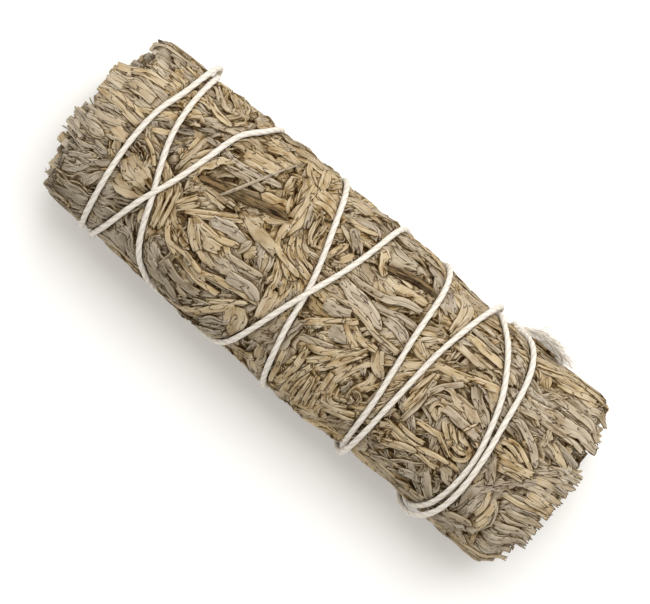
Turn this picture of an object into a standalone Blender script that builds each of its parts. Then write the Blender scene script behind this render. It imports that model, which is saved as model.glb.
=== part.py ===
"""A dried sage bundle, lying on a surface: eight leafy stems pressed side by side and bound
crosswise with one cotton string. Lengths are in metres.

+X points to the cut ends of the stems and -X to the leaf tips, +Z is up, and the origin is on the
surface under the middle of the bundle. Around the long axis, an angle of 0 is straight up and
+90 degrees is the +Y side."""

import math
import random

import bmesh
import bpy
from mathutils import Matrix, Vector

MM = 0.001

# The bundle as a whole
STEM_COUNT = 8
HALF_LENGTH = 47.0 * MM
END_ROOM = 2.0 * MM  # how far a leaf on the outside may reach past the packed leaves
MEAN_GIRTH = 16.2 * MM
FLATNESS = 0.88  # height over width, because the bundle was pressed and lies on its side
SQUARENESS = 2.25  # 2 is an ellipse, and more is fuller at the corners
AXIS_HEIGHT = 13.9 * MM
RESTED_TO = 28  # degrees either way from straight down, over which the bundle rests on its side
FREE_FROM = 50
SEED = 342

# Half width of the bundle at places along it, where the string pinches it and where it swells
GIRTHS = (
    (-49.0, 14.2), (-45.5, 15.6), (-40.0, 15.9), (-34.0, 15.9), (-29.0, 16.2), (-23.5, 16.0),
    (-16.0, 16.7), (-8.0, 16.4), (0.0, 16.6), (9.0, 16.7), (19.0, 15.9), (26.0, 16.0),
    (34.0, 16.3), (41.0, 16.7), (45.5, 16.5), (49.0, 14.6),
)

# The seams between the leafy stems: they twist a little and wander
SEAM_TWIST = 9.0  # degrees over the whole length
SEAM_WANDER = 2.6  # degrees
SEAM_WAVE = 9 * MM
SEAM_PHASE = 2.1
GAP = 0.3 * MM  # left between neighbouring pieces

# Pressed leaves
CORE_SINK = 0.75 * MM  # the packed inner leaves lie this far under the outermost ones
CORE_APEX = 1.0 * MM  # each wedge of leaves starts this far from the axis
CORE_PRESS = 0.3 * MM  # the wedge reaches this far into the surface below, which cuts it flat
CORE_STATIONS = 7
LEAF_ROWS = 7
LEAF_LENGTH = (12 * MM, 19 * MM)
LEAF_WIDTH = (3.8 * MM, 5.6 * MM)
LEAF_RISE = (0.35 * MM, 0.85 * MM)  # of its midrib over the mean surface
LEAF_OUTLINE = (0.4, 1.0, 0.85, 0.3)  # half widths from root to tip
EDGE_SINK = 0.95 * MM

# Leaves on each end of each leafy stem, as (share of the radius, place across the stem)
END_LEAVES = ((0.66, -0.45), (0.7, 0.45), (0.92, -0.05))
END_REACH = (0.8 * MM, 4.0 * MM)
END_WIDTH = (2.4 * MM, 3.6 * MM)
END_THICKNESS = (0.8 * MM, 1.1 * MM)

# Woody stems
STEM_RADIUS = 1.15 * MM
STEM_DEPTH = 0.56  # distance from the bundle's axis, as a share of its radius there
STEM_TIP_X = -34 * MM
STEM_SIDES = 6
STEM_STATIONS = 5

# Cotton string
STRING_RADIUS = 0.65 * MM
STRING_LIFT = 0.3 * MM  # of its centre line over the mean leaf surface
STRING_SIDES = 6
ROOM_SIDES = 4  # of the room cut for the string
ROOM_HEIGHT = 1.5 * MM  # by which that room is open above the string
STRING_STEP = 24  # degrees round the bundle between sections
GROUND_CLEARANCE = 0.1 * MM

# The string's route as (mm along the bundle, degrees round it), from the end that was laid last
STRING_ROUTE = (
    (27.0, 106), (28.4, 90), (32.3, 56), (33.9, 36), (35.0, 12), (36.0, -10), (36.5, -30),
    (36.2, -48), (35.0, -64), (32.9, -80), (29.6, -104), (27.2, -140), (25.4, -180), (23.9, -222),
    (22.9, -255), (22.2, -279), (21.2, -301), (20.3, -321), (19.5, -341), (19.2, -362),
    (18.9, -387), (18.6, -413), (17.9, -440), (15.8, -470), (13.6, -505), (11.4, -540),
    (7.3, -590), (4.6, -612), (2.7, -632), (1.0, -675), (-0.5, -699), (-2.7, -723), (-4.4, -742),
    (-6.0, -764), (-8.6, -797), (-12.2, -821), (-16.4, -848), (-19.6, -895), (-21.6, -945),
    (-23.0, -990), (-24.6, -1016), (-27.6, -1036), (-29.2, -1060), (-30.9, -1084), (-33.3, -1110),
    (-35.1, -1145), (-35.8, -1170), (-36.0, -1215), (-36.3, -1270), (-36.7, -1320),
    (-37.2, -1350), (-38.7, -1393), (-40.2, -1416), (-40.5, -1440), (-40.0, -1465),
    (-38.6, -1500), (-37.9, -1530), (-38.6, -1575), (-38.9, -1625), (-38.2, -1665),
    (-36.5, -1710), (-36.8, -1756), (-36.0, -1782), (-34.1, -1803), (-32.0, -1821),
    (-29.8, -1842), (-27.4, -1860), (-24.9, -1874), (-20.9, -1900), (-16.4, -1926),
    (-13.4, -1965), (-11.6, -2010), (-10.3, -2055), (-9.4, -2081), (-7.0, -2115), (-4.4, -2144),
    (-2.9, -2165), (-2.0, -2187), (-0.5, -2212), (1.0, -2242), (2.8, -2285), (4.6, -2335),
    (7.4, -2385), (10.6, -2412), (12.2, -2438), (13.9, -2467), (14.8, -2500), (15.7, -2524),
    (16.7, -2553), (17.3, -2594), (18.2, -2630), (19.6, -2685), (21.0, -2740), (22.3, -2778),
    (24.4, -2806), (28.0, -2829), (31.9, -2855), (34.0, -2878), (35.1, -2897), (35.2, -2917),
    (34.3, -2938), (32.5, -2958), (30.9, -2990), (30.2, -3040), (29.2, -3090), (27.0, -3134),
)
KNOT_PLACE = (27.0, 106)  # mm along the bundle and degrees round it
KNOT_LIFT = 0.9 * MM
KNOT_RADIUS = 1.5 * MM
TAILS = (  # the two loose ends, as (mm along, degrees round, mm over the leaves)
    ((27.0, 104, 0.9), (29.6, 97, 2.3), (32.4, 92, 2.3), (35.4, 91, 1.5)),
    ((27.0, 102, 1.2), (29.4, 102, 1.6), (32.4, 101, 1.2), (34.6, 100, 1.1)),
)

# Bare woody twigs that show on the surface, as (mm along, degrees round, mm over the leaves)
TWIGS = {
    "twig_long": (
        1.0 * MM,
        ((-31.6, 5, -2.5), (-29.3, 7.5, -2.3), (-26.2, 10.5, -0.9), (-20.0, 17, -0.4),
         (-13.2, 24, -0.8)),
    ),
    "twig_short": (
        0.85 * MM,
        ((4.6, 37, -0.6), (9.2, 42.5, -0.4), (12.4, 46.5, -1.8), (14.6, 49.5, -2.2),
         (17.5, 54, -2.2)),
    ),
}

LEAF_COLOUR = (0.44, 0.35, 0.23)
WOOD_COLOUR = (0.20, 0.13, 0.07)
STRING_COLOUR = (0.84, 0.80, 0.73)


def smooth_value(stations, x):
    """The value at x on a smooth curve through the stations, given in mm."""
    x = min(max(x / MM, stations[0][0]), stations[-1][0])
    for (x0, v0), (x1, v1) in zip(stations, stations[1:]):
        if x <= x1:
            share = (x - x0) / (x1 - x0)
            share = share * share * (3 - 2 * share)
            return (v0 + (v1 - v0) * share) * MM
    return stations[-1][1] * MM


def rim_radius(x, angle):
    """Distance from the bundle's axis to its mean leaf surface, flat where it rests."""
    half_width = smooth_value(GIRTHS, x)
    half_height = half_width * FLATNESS
    across = abs(math.sin(angle)) / half_width
    upward = abs(math.cos(angle)) / half_height
    radius = (across**SQUARENESS + upward**SQUARENESS) ** (-1 / SQUARENESS)
    if math.cos(angle) < 0:
        radius = min(radius, AXIS_HEIGHT / -math.cos(angle))
    return radius


def placed(x, angle, radius):
    """The point at this distance from the bundle's axis."""
    return Vector((x, radius * math.sin(angle), AXIS_HEIGHT + radius * math.cos(angle)))


def on_rim(x, angle, lift):
    return placed(x, angle, rim_radius(x, angle) + lift)


def seam_angle(index, x):
    """Angle of the seam before leafy stem number index, which neighbours share."""
    turn = 2 * math.pi * (index - 0.5) / STEM_COUNT
    twist = math.radians(SEAM_TWIST) * x / (2 * HALF_LENGTH)
    wave = math.sin(x / SEAM_WAVE + SEAM_PHASE * (index % STEM_COUNT))
    wander = math.radians(SEAM_WANDER) * wave
    return turn + twist + wander


def rested_share(angle):
    """1 where the bundle is pressed on the surface, falling to 0 up its sides."""
    off = abs((math.degrees(angle) % 360) - 180)
    share = min(max((FREE_FROM - off) / (FREE_FROM - RESTED_TO), 0), 1)
    return share * share * (3 - 2 * share)


def curve_through(points, steps):
    """Points along a smooth curve through the given ones (Catmull-Rom), steps for each stretch."""
    padded = [points[0], *points, points[-1]]
    found = []
    for before, start, end, after in zip(padded, padded[1:], padded[2:], padded[3:]):
        for step in range(steps):
            t = step / steps
            found.append(tuple(
                0.5 * (2 * b + (c - a) * t + (2 * a - 5 * b + 4 * c - d) * t**2
                       + (3 * b - a - 3 * c + d) * t**3)
                for a, b, c, d in zip(before, start, end, after)
            ))
    found.append(tuple(float(value) for value in points[-1]))
    return found


def new_material(name, colour, roughness):
    material = bpy.data.materials.new(name)
    material.use_nodes = True
    shader = material.node_tree.nodes["Principled BSDF"]
    shader.inputs["Base Color"].default_value = (*colour, 1)
    shader.inputs["Roughness"].default_value = roughness
    shader.inputs["Metallic"].default_value = 0
    return material


def new_object(name, shape, collection=None):
    """Turns a bmesh into an object with its faces pointing out."""
    bmesh.ops.recalc_face_normals(shape, faces=shape.faces)
    mesh = bpy.data.meshes.new(name)
    shape.to_mesh(mesh)
    shape.free()
    thing = bpy.data.objects.new(name, mesh)
    (collection or bpy.context.scene.collection).objects.link(thing)
    return thing


def skin_rings(rings):
    """A closed bmesh through rings of points, with a flat cap on each end."""
    shape = bmesh.new()
    loops = [[shape.verts.new(point) for point in ring] for ring in rings]
    for near, far in zip(loops, loops[1:]):
        for k in range(len(near)):
            after = (k + 1) % len(near)
            shape.faces.new((near[k], near[after], far[after], far[k]))
    shape.faces.new(loops[0])
    shape.faces.new(loops[-1])
    return shape


def tube(path, radii, sides, uprights=None, taller=0):
    """A closed round tube along a path, with a radius and perhaps an upward direction for each of
    its points. A side, not a corner, faces up and down, and the upper half may be drawn taller."""
    rings = []
    upward = None
    for k, point in enumerate(path):
        ahead = (path[min(k + 1, len(path) - 1)] - path[max(k - 1, 0)]).normalized()
        if uprights:
            upward = uprights[k]
        elif upward is None:
            upward = ahead.orthogonal()
        upward = (upward - ahead * upward.dot(ahead)).normalized()
        sideways = ahead.cross(upward)
        turns = [2 * math.pi * (side + 0.5) / sides for side in range(sides)]
        rings.append([
            point + (upward * math.cos(turn) + sideways * math.sin(turn)) * radii[k]
            + upward * (taller if math.cos(turn) > 0 else 0)
            for turn in turns
        ])
    return skin_rings(rings)


def helper_collection(name):
    collection = bpy.data.collections.new(name)
    bpy.context.scene.collection.children.link(collection)
    return collection


def apply_boolean(thing, operation, collection):
    """Joins or cuts the thing with everything in a collection of closed shapes."""
    modifier = thing.modifiers.new(operation.lower(), "BOOLEAN")
    modifier.operation = operation
    modifier.operand_type = "COLLECTION"
    modifier.collection = collection
    modifier.solver = "MANIFOLD"
    bpy.context.view_layer.update()
    graph = bpy.context.evaluated_depsgraph_get()
    mesh = bpy.data.meshes.new_from_object(thing.evaluated_get(graph))
    thing.modifiers.remove(modifier)
    old = thing.data
    thing.data = mesh
    bpy.data.meshes.remove(old)


def remove_collection(collection):
    for thing in list(collection.objects):
        bpy.data.objects.remove(thing)
    bpy.data.collections.remove(collection)


def keep_largest_piece(thing):
    """Drops loose scraps and fills sealed hollows: only the biggest closed skin stays."""
    shape = bmesh.new()
    shape.from_mesh(thing.data)
    unseen = set(shape.faces)
    pieces = []
    while unseen:
        found = [unseen.pop()]
        for face in found:
            for edge in face.edges:
                for other in edge.link_faces:
                    if other in unseen:
                        unseen.discard(other)
                        found.append(other)
        pieces.append(found)
    pieces.sort(key=len)
    scraps = [face for piece in pieces[:-1] for face in piece]
    bmesh.ops.delete(shape, geom=scraps, context="FACES")
    shape.to_mesh(thing.data)
    shape.free()


def clear_of_seams(index, x, angle, half_width):
    """The angle bent back, if need be, so that a leaf this wide stays in its own stem's share."""
    room = (half_width + GAP) / rim_radius(x, angle)
    low = seam_angle(index, x) + room
    high = seam_angle(index + 1, x) - room
    middle, half = (low + high) / 2, max((high - low) / 2, 1e-4)
    off = (angle - middle) / half
    return middle + half * off / (1 + abs(off) ** 6) ** (1 / 6)


def surface_leaf(index, start_x, start_angle, heading, bend, length, width, rise):
    """One pressed leaf on the outside, folded along its midrib, with its edges sunk in the core."""
    x, angle = start_x, start_angle
    segments = len(LEAF_OUTLINE) - 1
    step = length / segments
    furthest = HALF_LENGTH + END_ROOM
    rings = []
    for k, outline in enumerate(LEAF_OUTLINE):
        share = k / segments
        turn = heading + bend * (share - 0.5)
        half = width / 2 * outline
        middle = clear_of_seams(index, x, angle, width / 2)
        rim = rim_radius(x, middle)
        side_x, side_angle = math.sin(turn) * half, math.cos(turn) * half / rim
        ridge = rise * (0.25 + 0.75 * math.sin(math.pi * (0.12 + 0.8 * share)))
        rings.append([
            on_rim(x + side_x, middle + side_angle, -EDGE_SINK),
            on_rim(x, middle, ridge),
            on_rim(x - side_x, middle - side_angle, -EDGE_SINK),
        ])
        x = min(max(x - math.cos(turn) * step, -furthest), furthest)
        angle = middle + math.sin(turn) * step / rim
    return skin_rings(rings)


def end_leaf(index, end, share_out, across, reach, width, thickness):
    """A leaf or stalk that sticks out of one end, from well inside the core."""
    rings = []
    inside, outside = HALF_LENGTH - 6 * MM, HALF_LENGTH + reach
    for k, (outline, thick) in enumerate(((0.9, 1.0), (1.0, 1.0), (0.5, 0.8))):
        x = end * (inside + (outside - inside) * k / 2)
        low, high = seam_angle(index, x), seam_angle(index + 1, x)
        angle = (low + high) / 2 + across * (high - low) / 2
        radius = rim_radius(end * HALF_LENGTH * 0.93, angle) * share_out
        half = width / 2 * outline
        rings.append([
            placed(x, angle + half / radius, radius),
            placed(x, angle, radius + thickness / 2 * thick),
            placed(x, angle - half / radius, radius),
            placed(x, angle, radius - thickness / 2 * thick),
        ])
    return skin_rings(rings)


def packed_core(index):
    """The inner leaves of one stem, pressed to a wedge that fills its share of the bundle."""
    rings = []
    for k in range(CORE_STATIONS + 1):
        x = -HALF_LENGTH + 2 * HALF_LENGTH * k / CORE_STATIONS
        low, high = seam_angle(index, x), seam_angle(index + 1, x)
        ring = [placed(x, (low + high) / 2, CORE_APEX)]
        inset = GAP / 2 / rim_radius(x, low)
        for share in (0.0, 0.33, 0.67, 1.0):
            angle = low + inset + (high - low - 2 * inset) * share
            rested = rested_share(angle)
            lift = CORE_PRESS * rested - CORE_SINK * (1 - rested)
            ring.append(on_rim(x, angle, lift))
        rings.append(ring)
    return skin_rings(rings)


def stem_path(index, tip_room, end):
    """The woody stem's line through the middle of its leaves, straight where it comes out."""
    path = []
    straight_from = HALF_LENGTH - 3 * MM
    for k in range(STEM_STATIONS):
        x = STEM_TIP_X + (straight_from - STEM_TIP_X) * k / (STEM_STATIONS - 1)
        angle = (seam_angle(index, x) + seam_angle(index + 1, x)) / 2
        path.append(placed(x, angle, rim_radius(x, angle) * STEM_DEPTH))
    path[0].x -= tip_room
    path.append(Vector((end, path[-1].y, path[-1].z)))
    return path


def stem_radii(spare):
    radii = [STEM_RADIUS * (0.55 + 0.45 * k / (STEM_STATIONS - 1)) + spare
             for k in range(STEM_STATIONS)]
    return [*radii, radii[-1]]


def twig_path(points):
    return [on_rim(x * MM, math.radians(angle), lift * MM)
            for x, angle, lift in curve_through(points, 2)]


def crossing_rise(route, k, apart):
    """How much room point k of the string's route needs over, or under, the turns laid apart,
    2 * apart, ... points away along it, so that the string lies on itself where it crosses."""
    reach = 2 * STRING_RADIUS + GAP
    rise = 0.0
    other = k + apart
    while 0 <= other < len(route):
        here = route[max(k - 1, 0)][0] + route[k][0], route[k][0] * 2
        there = route[max(other - 1, 0)][0] + route[other][0], route[other][0] * 2
        for one, two in zip(here, there):
            off = abs(one - two) / 2
            rise = max(rise, math.sqrt(max(reach * reach - off * off, 0)))
        other += apart
    return rise


def string_centre_line():
    """The string's line, at even steps round the bundle, and its outward directions. Each turn
    rides over the earlier ones, and under the bundle the earlier ones are pressed in instead."""
    fine = curve_through(STRING_ROUTE, 12)
    first, last = STRING_ROUTE[0][1], STRING_ROUTE[-1][1]
    count = round((first - last) / STRING_STEP)
    turn_points = round(360 / STRING_STEP)
    even = []
    place = 0
    for k in range(count + 1):
        wanted = first + (last - first) * k / count
        while place < len(fine) - 2 and fine[place + 1][1] > wanted:
            place += 1
        (x0, a0), (x1, a1) = fine[place], fine[place + 1]
        share = (wanted - a0) / (a1 - a0) if a1 != a0 else 0
        even.append(((x0 + (x1 - x0) * share) * MM, math.radians(wanted)))
    line, outward = [], []
    for k, (x, angle) in enumerate(even):
        rested = rested_share(angle)
        free_lift = STRING_LIFT + crossing_rise(even, k, turn_points)
        rested_lift = -STRING_RADIUS - GROUND_CLEARANCE - crossing_rise(even, k, -turn_points)
        line.append(on_rim(x, angle, free_lift * (1 - rested) + rested_lift * rested))
        outward.append(Vector((0, math.sin(angle), math.cos(angle))))
    return line, outward


def string_shapes(spare, taller, sides, collection):
    """The wound string, its knot and its two tails, with this much room to spare round them and
    this much more on top."""
    widen = math.cos(math.pi / STRING_SIDES) / math.cos(math.pi / sides)
    line, outward = string_centre_line()
    radius = (STRING_RADIUS + spare) * widen
    turn_points = round(360 / STRING_STEP)
    turns = []
    for start in range(0, len(line) - 1, turn_points):
        path, upright = (found[start:start + turn_points + 2] for found in (line, outward))
        turn = tube(path, [radius] * len(path), sides, upright, taller)
        turns.append(new_object("turn", turn, collection))
    x, angle = KNOT_PLACE
    knot = bmesh.new()
    bmesh.ops.create_icosphere(knot, subdivisions=1, radius=KNOT_RADIUS + spare)
    bmesh.ops.translate(knot, verts=knot.verts, vec=on_rim(x * MM, math.radians(angle), KNOT_LIFT))
    new_object("knot", knot, collection)
    for number, points in enumerate(TAILS):
        path = twig_path(points)
        radii = [(STRING_RADIUS * (0.85 + 0.35 * k / (len(path) - 1)) + spare) * widen
                 for k in range(len(path))]
        new_object(f"tail_{number}", tube(path, radii, sides), collection)
    return turns[0]


def make_string(material):
    shapes = helper_collection("string_shapes")
    string = string_shapes(0, 0, STRING_SIDES, shapes)
    shapes.objects.unlink(string)
    bpy.context.scene.collection.objects.link(string)
    apply_boolean(string, "UNION", shapes)
    remove_collection(shapes)
    string.name = "string"
    string.data.materials.clear()
    string.data.materials.append(material)


def make_cutters():
    """What is taken out of the leaves: room for the string, the twigs and the surface below."""
    cutters = helper_collection("cutters")
    string_shapes(GAP, ROOM_HEIGHT, ROOM_SIDES, cutters)
    for name, (radius, points) in TWIGS.items():
        path = twig_path(points)
        new_object(name + "_room", tube(path, [radius + GAP] * len(path), STEM_SIDES), cutters)
    slab = bmesh.new()
    bmesh.ops.create_cube(slab, size=1)
    bmesh.ops.scale(slab, verts=slab.verts, vec=Vector((0.2, 0.1, 0.01)))
    bmesh.ops.translate(slab, verts=slab.verts, vec=Vector((0, 0, -0.005)))
    new_object("surface_room", slab, cutters)
    for thing in cutters.objects:
        thing.hide_render = True
        thing.display_type = "WIRE"
    return cutters


def make_leafy_stem(index, cutters, leaf_material, wood_material):
    """The leaves of one stem as one body, and the woody stem in its bore."""
    draw = random.Random(SEED + index)
    blades = helper_collection(f"blades_{index}")
    for row in range(LEAF_ROWS):
        for column in (-1, 1):
            share = (row + 0.5 + 0.25 * column) / LEAF_ROWS
            x = -HALF_LENGTH + 2 * HALF_LENGTH * share + draw.uniform(-2, 2) * MM
            length = draw.uniform(*LEAF_LENGTH)
            near_end = max(0, abs(x) / HALF_LENGTH - 0.6) / 0.4
            spread = math.radians(draw.uniform(-55, 55)) * (1 - near_end)
            flip = math.pi if draw.random() < 0.25 else 0
            heading = spread + flip
            furthest = HALF_LENGTH + END_ROOM
            tip_x = min(max(x - math.cos(heading) * length / 2, -furthest), furthest)
            start_x = tip_x + math.cos(heading) * length
            start_x = min(max(start_x, -furthest), furthest)
            middle = (seam_angle(index, x) + seam_angle(index + 1, x)) / 2
            start_angle = middle + column * math.radians(draw.uniform(5, 15))
            start_angle -= math.sin(heading) * length / 2 / MEAN_GIRTH
            bend = math.radians(draw.uniform(-50, 50))
            width = draw.uniform(*LEAF_WIDTH)
            rise = draw.uniform(*LEAF_RISE)
            leaf = surface_leaf(index, start_x, start_angle, heading, bend, length, width, rise)
            new_object("leaf", leaf, blades)
    for end in (-1, 1):
        for share_out, across in END_LEAVES:
            across += draw.uniform(-0.08, 0.08)
            reach = draw.uniform(*END_REACH)
            width = min(draw.uniform(*END_WIDTH), share_out * END_WIDTH[1])
            thickness = draw.uniform(*END_THICKNESS)
            leaf = end_leaf(index, end, share_out, across, reach, width, thickness)
            new_object("end_leaf", leaf, blades)
    leaves = new_object(f"leafy_stem_{index + 1}_leaves", packed_core(index))
    apply_boolean(leaves, "UNION", blades)
    remove_collection(blades)

    bore = helper_collection(f"bore_{index}")
    path = stem_path(index, 2 * GAP, HALF_LENGTH + 8 * MM)
    new_object("bore", tube(path, stem_radii(GAP), STEM_SIDES), bore)
    apply_boolean(leaves, "DIFFERENCE", bore)
    remove_collection(bore)
    apply_boolean(leaves, "DIFFERENCE", cutters)
    keep_largest_piece(leaves)
    leaves.data.materials.clear()
    leaves.data.materials.append(leaf_material)

    path = stem_path(index, 0, HALF_LENGTH + draw.uniform(1.2, 3.4) * MM)
    stem = new_object(f"leafy_stem_{index + 1}_wood", tube(path, stem_radii(0), STEM_SIDES))
    stem.data.materials.append(wood_material)


def centre_on_origin():
    """Moves every piece so that the origin is under the middle of the whole bundle's box."""
    pieces = [thing for thing in bpy.context.scene.objects if not thing.hide_render]
    points = [vertex.co for thing in pieces for vertex in thing.data.vertices]
    low = Vector([min(point[axis] for point in points) for axis in range(3)])
    high = Vector([max(point[axis] for point in points) for axis in range(3)])
    middle = (low + high) / 2
    for thing in pieces:
        thing.data.transform(Matrix.Translation((-middle.x, -middle.y, -low.z)))


def main():
    for thing in list(bpy.data.objects):
        bpy.data.objects.remove(thing)
    leaf_material = new_material("dried_leaf", LEAF_COLOUR, 0.9)
    wood_material = new_material("dry_wood", WOOD_COLOUR, 0.85)
    string_material = new_material("cotton", STRING_COLOUR, 0.95)
    cutters = make_cutters()
    for index in range(STEM_COUNT):
        make_leafy_stem(index, cutters, leaf_material, wood_material)
    for name, (radius, points) in TWIGS.items():
        path = twig_path(points)
        twig = new_object(name, tube(path, [radius] * len(path), STEM_SIDES))
        twig.data.materials.append(wood_material)
    make_string(string_material)
    remove_collection(cutters)
    centre_on_origin()


main()
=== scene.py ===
# %% [markdown]
# # A dried sage bundle in Blender
#
# The object is a bundle of dried sage: a few hundred narrow leaves on eight stems, pressed into a
# blunt cylinder and bound crosswise with cotton string. It lies on a pale surface and is seen from
# straight above.
#
# This file dresses a plain solid model, called the frame. The frame says where each stem, twig and
# turn of string is, and every piece that is made here stays in its place. All lengths below are in
# millimetres, because leaves are easier to think about in them, and are turned into metres when a
# mesh is made.

# %% Load the frame
import math

import bpy
import numpy as np
from mathutils import Matrix, Vector
from mathutils.kdtree import KDTree


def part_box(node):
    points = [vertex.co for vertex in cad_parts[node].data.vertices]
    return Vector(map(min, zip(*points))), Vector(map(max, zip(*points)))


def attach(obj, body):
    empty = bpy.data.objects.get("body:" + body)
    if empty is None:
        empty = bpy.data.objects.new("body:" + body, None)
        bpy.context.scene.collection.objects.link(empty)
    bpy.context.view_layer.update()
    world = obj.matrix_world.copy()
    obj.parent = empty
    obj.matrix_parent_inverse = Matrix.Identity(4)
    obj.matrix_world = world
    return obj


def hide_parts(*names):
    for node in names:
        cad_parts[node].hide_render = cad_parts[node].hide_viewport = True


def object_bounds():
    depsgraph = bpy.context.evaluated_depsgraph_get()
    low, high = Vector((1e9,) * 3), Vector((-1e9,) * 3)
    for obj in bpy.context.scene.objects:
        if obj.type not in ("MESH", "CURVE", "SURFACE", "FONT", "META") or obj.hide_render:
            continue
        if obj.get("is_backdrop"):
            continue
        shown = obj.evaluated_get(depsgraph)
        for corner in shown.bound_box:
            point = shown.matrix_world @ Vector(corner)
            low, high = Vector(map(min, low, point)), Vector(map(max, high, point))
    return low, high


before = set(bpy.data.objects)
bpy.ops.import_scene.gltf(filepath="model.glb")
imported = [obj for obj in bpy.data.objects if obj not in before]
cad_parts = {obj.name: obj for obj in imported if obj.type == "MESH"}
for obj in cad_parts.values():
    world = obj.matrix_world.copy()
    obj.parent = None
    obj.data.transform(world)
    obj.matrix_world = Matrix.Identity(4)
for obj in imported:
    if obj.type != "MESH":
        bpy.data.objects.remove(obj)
solid_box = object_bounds()
MM = 0.001
chance = np.random.default_rng(7)
print("frame box in mm:", [[round(v / MM, 1) for v in corner] for corner in solid_box])

# %% [markdown]
# ## The camera and the way the bundle lies
#
# In the photograph the bundle runs from the upper left to the lower right, 40 degrees below the
# level. The frame has it along X, so the camera is rolled instead. A very long lens from far above
# shows the top of the bundle at the same scale as its outline, as in the photograph.

# %% Camera
ROLL = math.radians(40.1)
VIEW_WIDTH = 105.3
CAMERA_HEIGHT = 2400
OUTLINE_HEIGHT = 14
camera_data = bpy.data.cameras.new("camera")
camera_data.sensor_width = 36
camera_data.lens = 36 * (CAMERA_HEIGHT - OUTLINE_HEIGHT) / VIEW_WIDTH
camera_data.clip_start = 0.01
camera = bpy.data.objects.new("camera", camera_data)
bpy.context.scene.collection.objects.link(camera)
CAMERA_SPOT = Vector((0.36, -0.67, CAMERA_HEIGHT)) * MM
camera.matrix_world = Matrix.Translation(CAMERA_SPOT) @ Matrix.Rotation(ROLL, 4, "Z")
bpy.context.scene.camera = camera
print("lens in mm:", round(camera_data.lens, 1))

# %% [markdown]
# ## The pressed shape
#
# The leaves are pressed into a body that is a little wider than it is high, with fuller corners
# than an ellipse, and flat where it rests. A superellipse gives such a section from one formula,
# and a short list of widths says where the string pinches the bundle and where it swells. All
# leaves are laid on this surface, so a place on it is given by x along the bundle and by an angle
# round it, with 0 straight up.

# %% Surface of the bundle
GIRTHS = np.array((
    (-49.0, 14.2), (-45.5, 15.6), (-40.0, 15.9), (-34.0, 15.9), (-29.0, 16.2), (-23.5, 16.0),
    (-16.0, 16.7), (-8.0, 16.4), (0.0, 16.6), (9.0, 16.7), (19.0, 15.9), (26.0, 16.0),
    (34.0, 16.3), (41.0, 16.7), (45.5, 16.5), (49.0, 14.6),
))
FLATNESS, SQUARENESS = 0.88, 2.25
AXIS_HEIGHT = 13.9
AXIS_SHIFT = (0.127, -0.258)  # of the bundle's own axis from the frame's origin, in x and y
HALF_LENGTH = 47.0


def half_width(x):
    """Half the bundle's width at places along it."""
    x = np.clip(x, GIRTHS[0, 0], GIRTHS[-1, 0])
    after = np.clip(np.searchsorted(GIRTHS[:, 0], x), 1, len(GIRTHS) - 1)
    x0, w0 = np.moveaxis(GIRTHS[after - 1], -1, 0)
    x1, w1 = np.moveaxis(GIRTHS[after], -1, 0)
    share = (x - x0) / (x1 - x0)
    return w0 + (w1 - w0) * share * share * (3 - 2 * share)


def rim(x, angle):
    """Distance from the bundle's axis to its mean surface."""
    wide = half_width(x)
    across, upward = np.abs(np.sin(angle)) / wide, np.abs(np.cos(angle)) / (wide * FLATNESS)
    radius = (across**SQUARENESS + upward**SQUARENESS) ** (-1 / SQUARENESS)
    down = np.maximum(-np.cos(angle), 1e-6)
    return np.where(np.cos(angle) < 0, np.minimum(radius, AXIS_HEIGHT / down), radius)


def place(x, angle, radius):
    """Points in space, from places along, round and out from the bundle's axis."""
    return np.stack((
        x + AXIS_SHIFT[0],
        radius * np.sin(angle) + AXIS_SHIFT[1],
        AXIS_HEIGHT + radius * np.cos(angle),
    ), axis=-1)


print("half width at both ends and the middle:", half_width(np.array((-47.0, 0.0, 47.0))).round(1))

# %% [markdown]
# ## The string's route
#
# One string goes from the knot near the cut ends to the leaf tips and back, and crosses itself on
# the front. The route is a list of places along and round the bundle, read off the photograph
# where the string shows and carried on smoothly round the back. A Catmull-Rom curve passes
# through each place, and a later turn rides over an earlier one where they cross.

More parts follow.
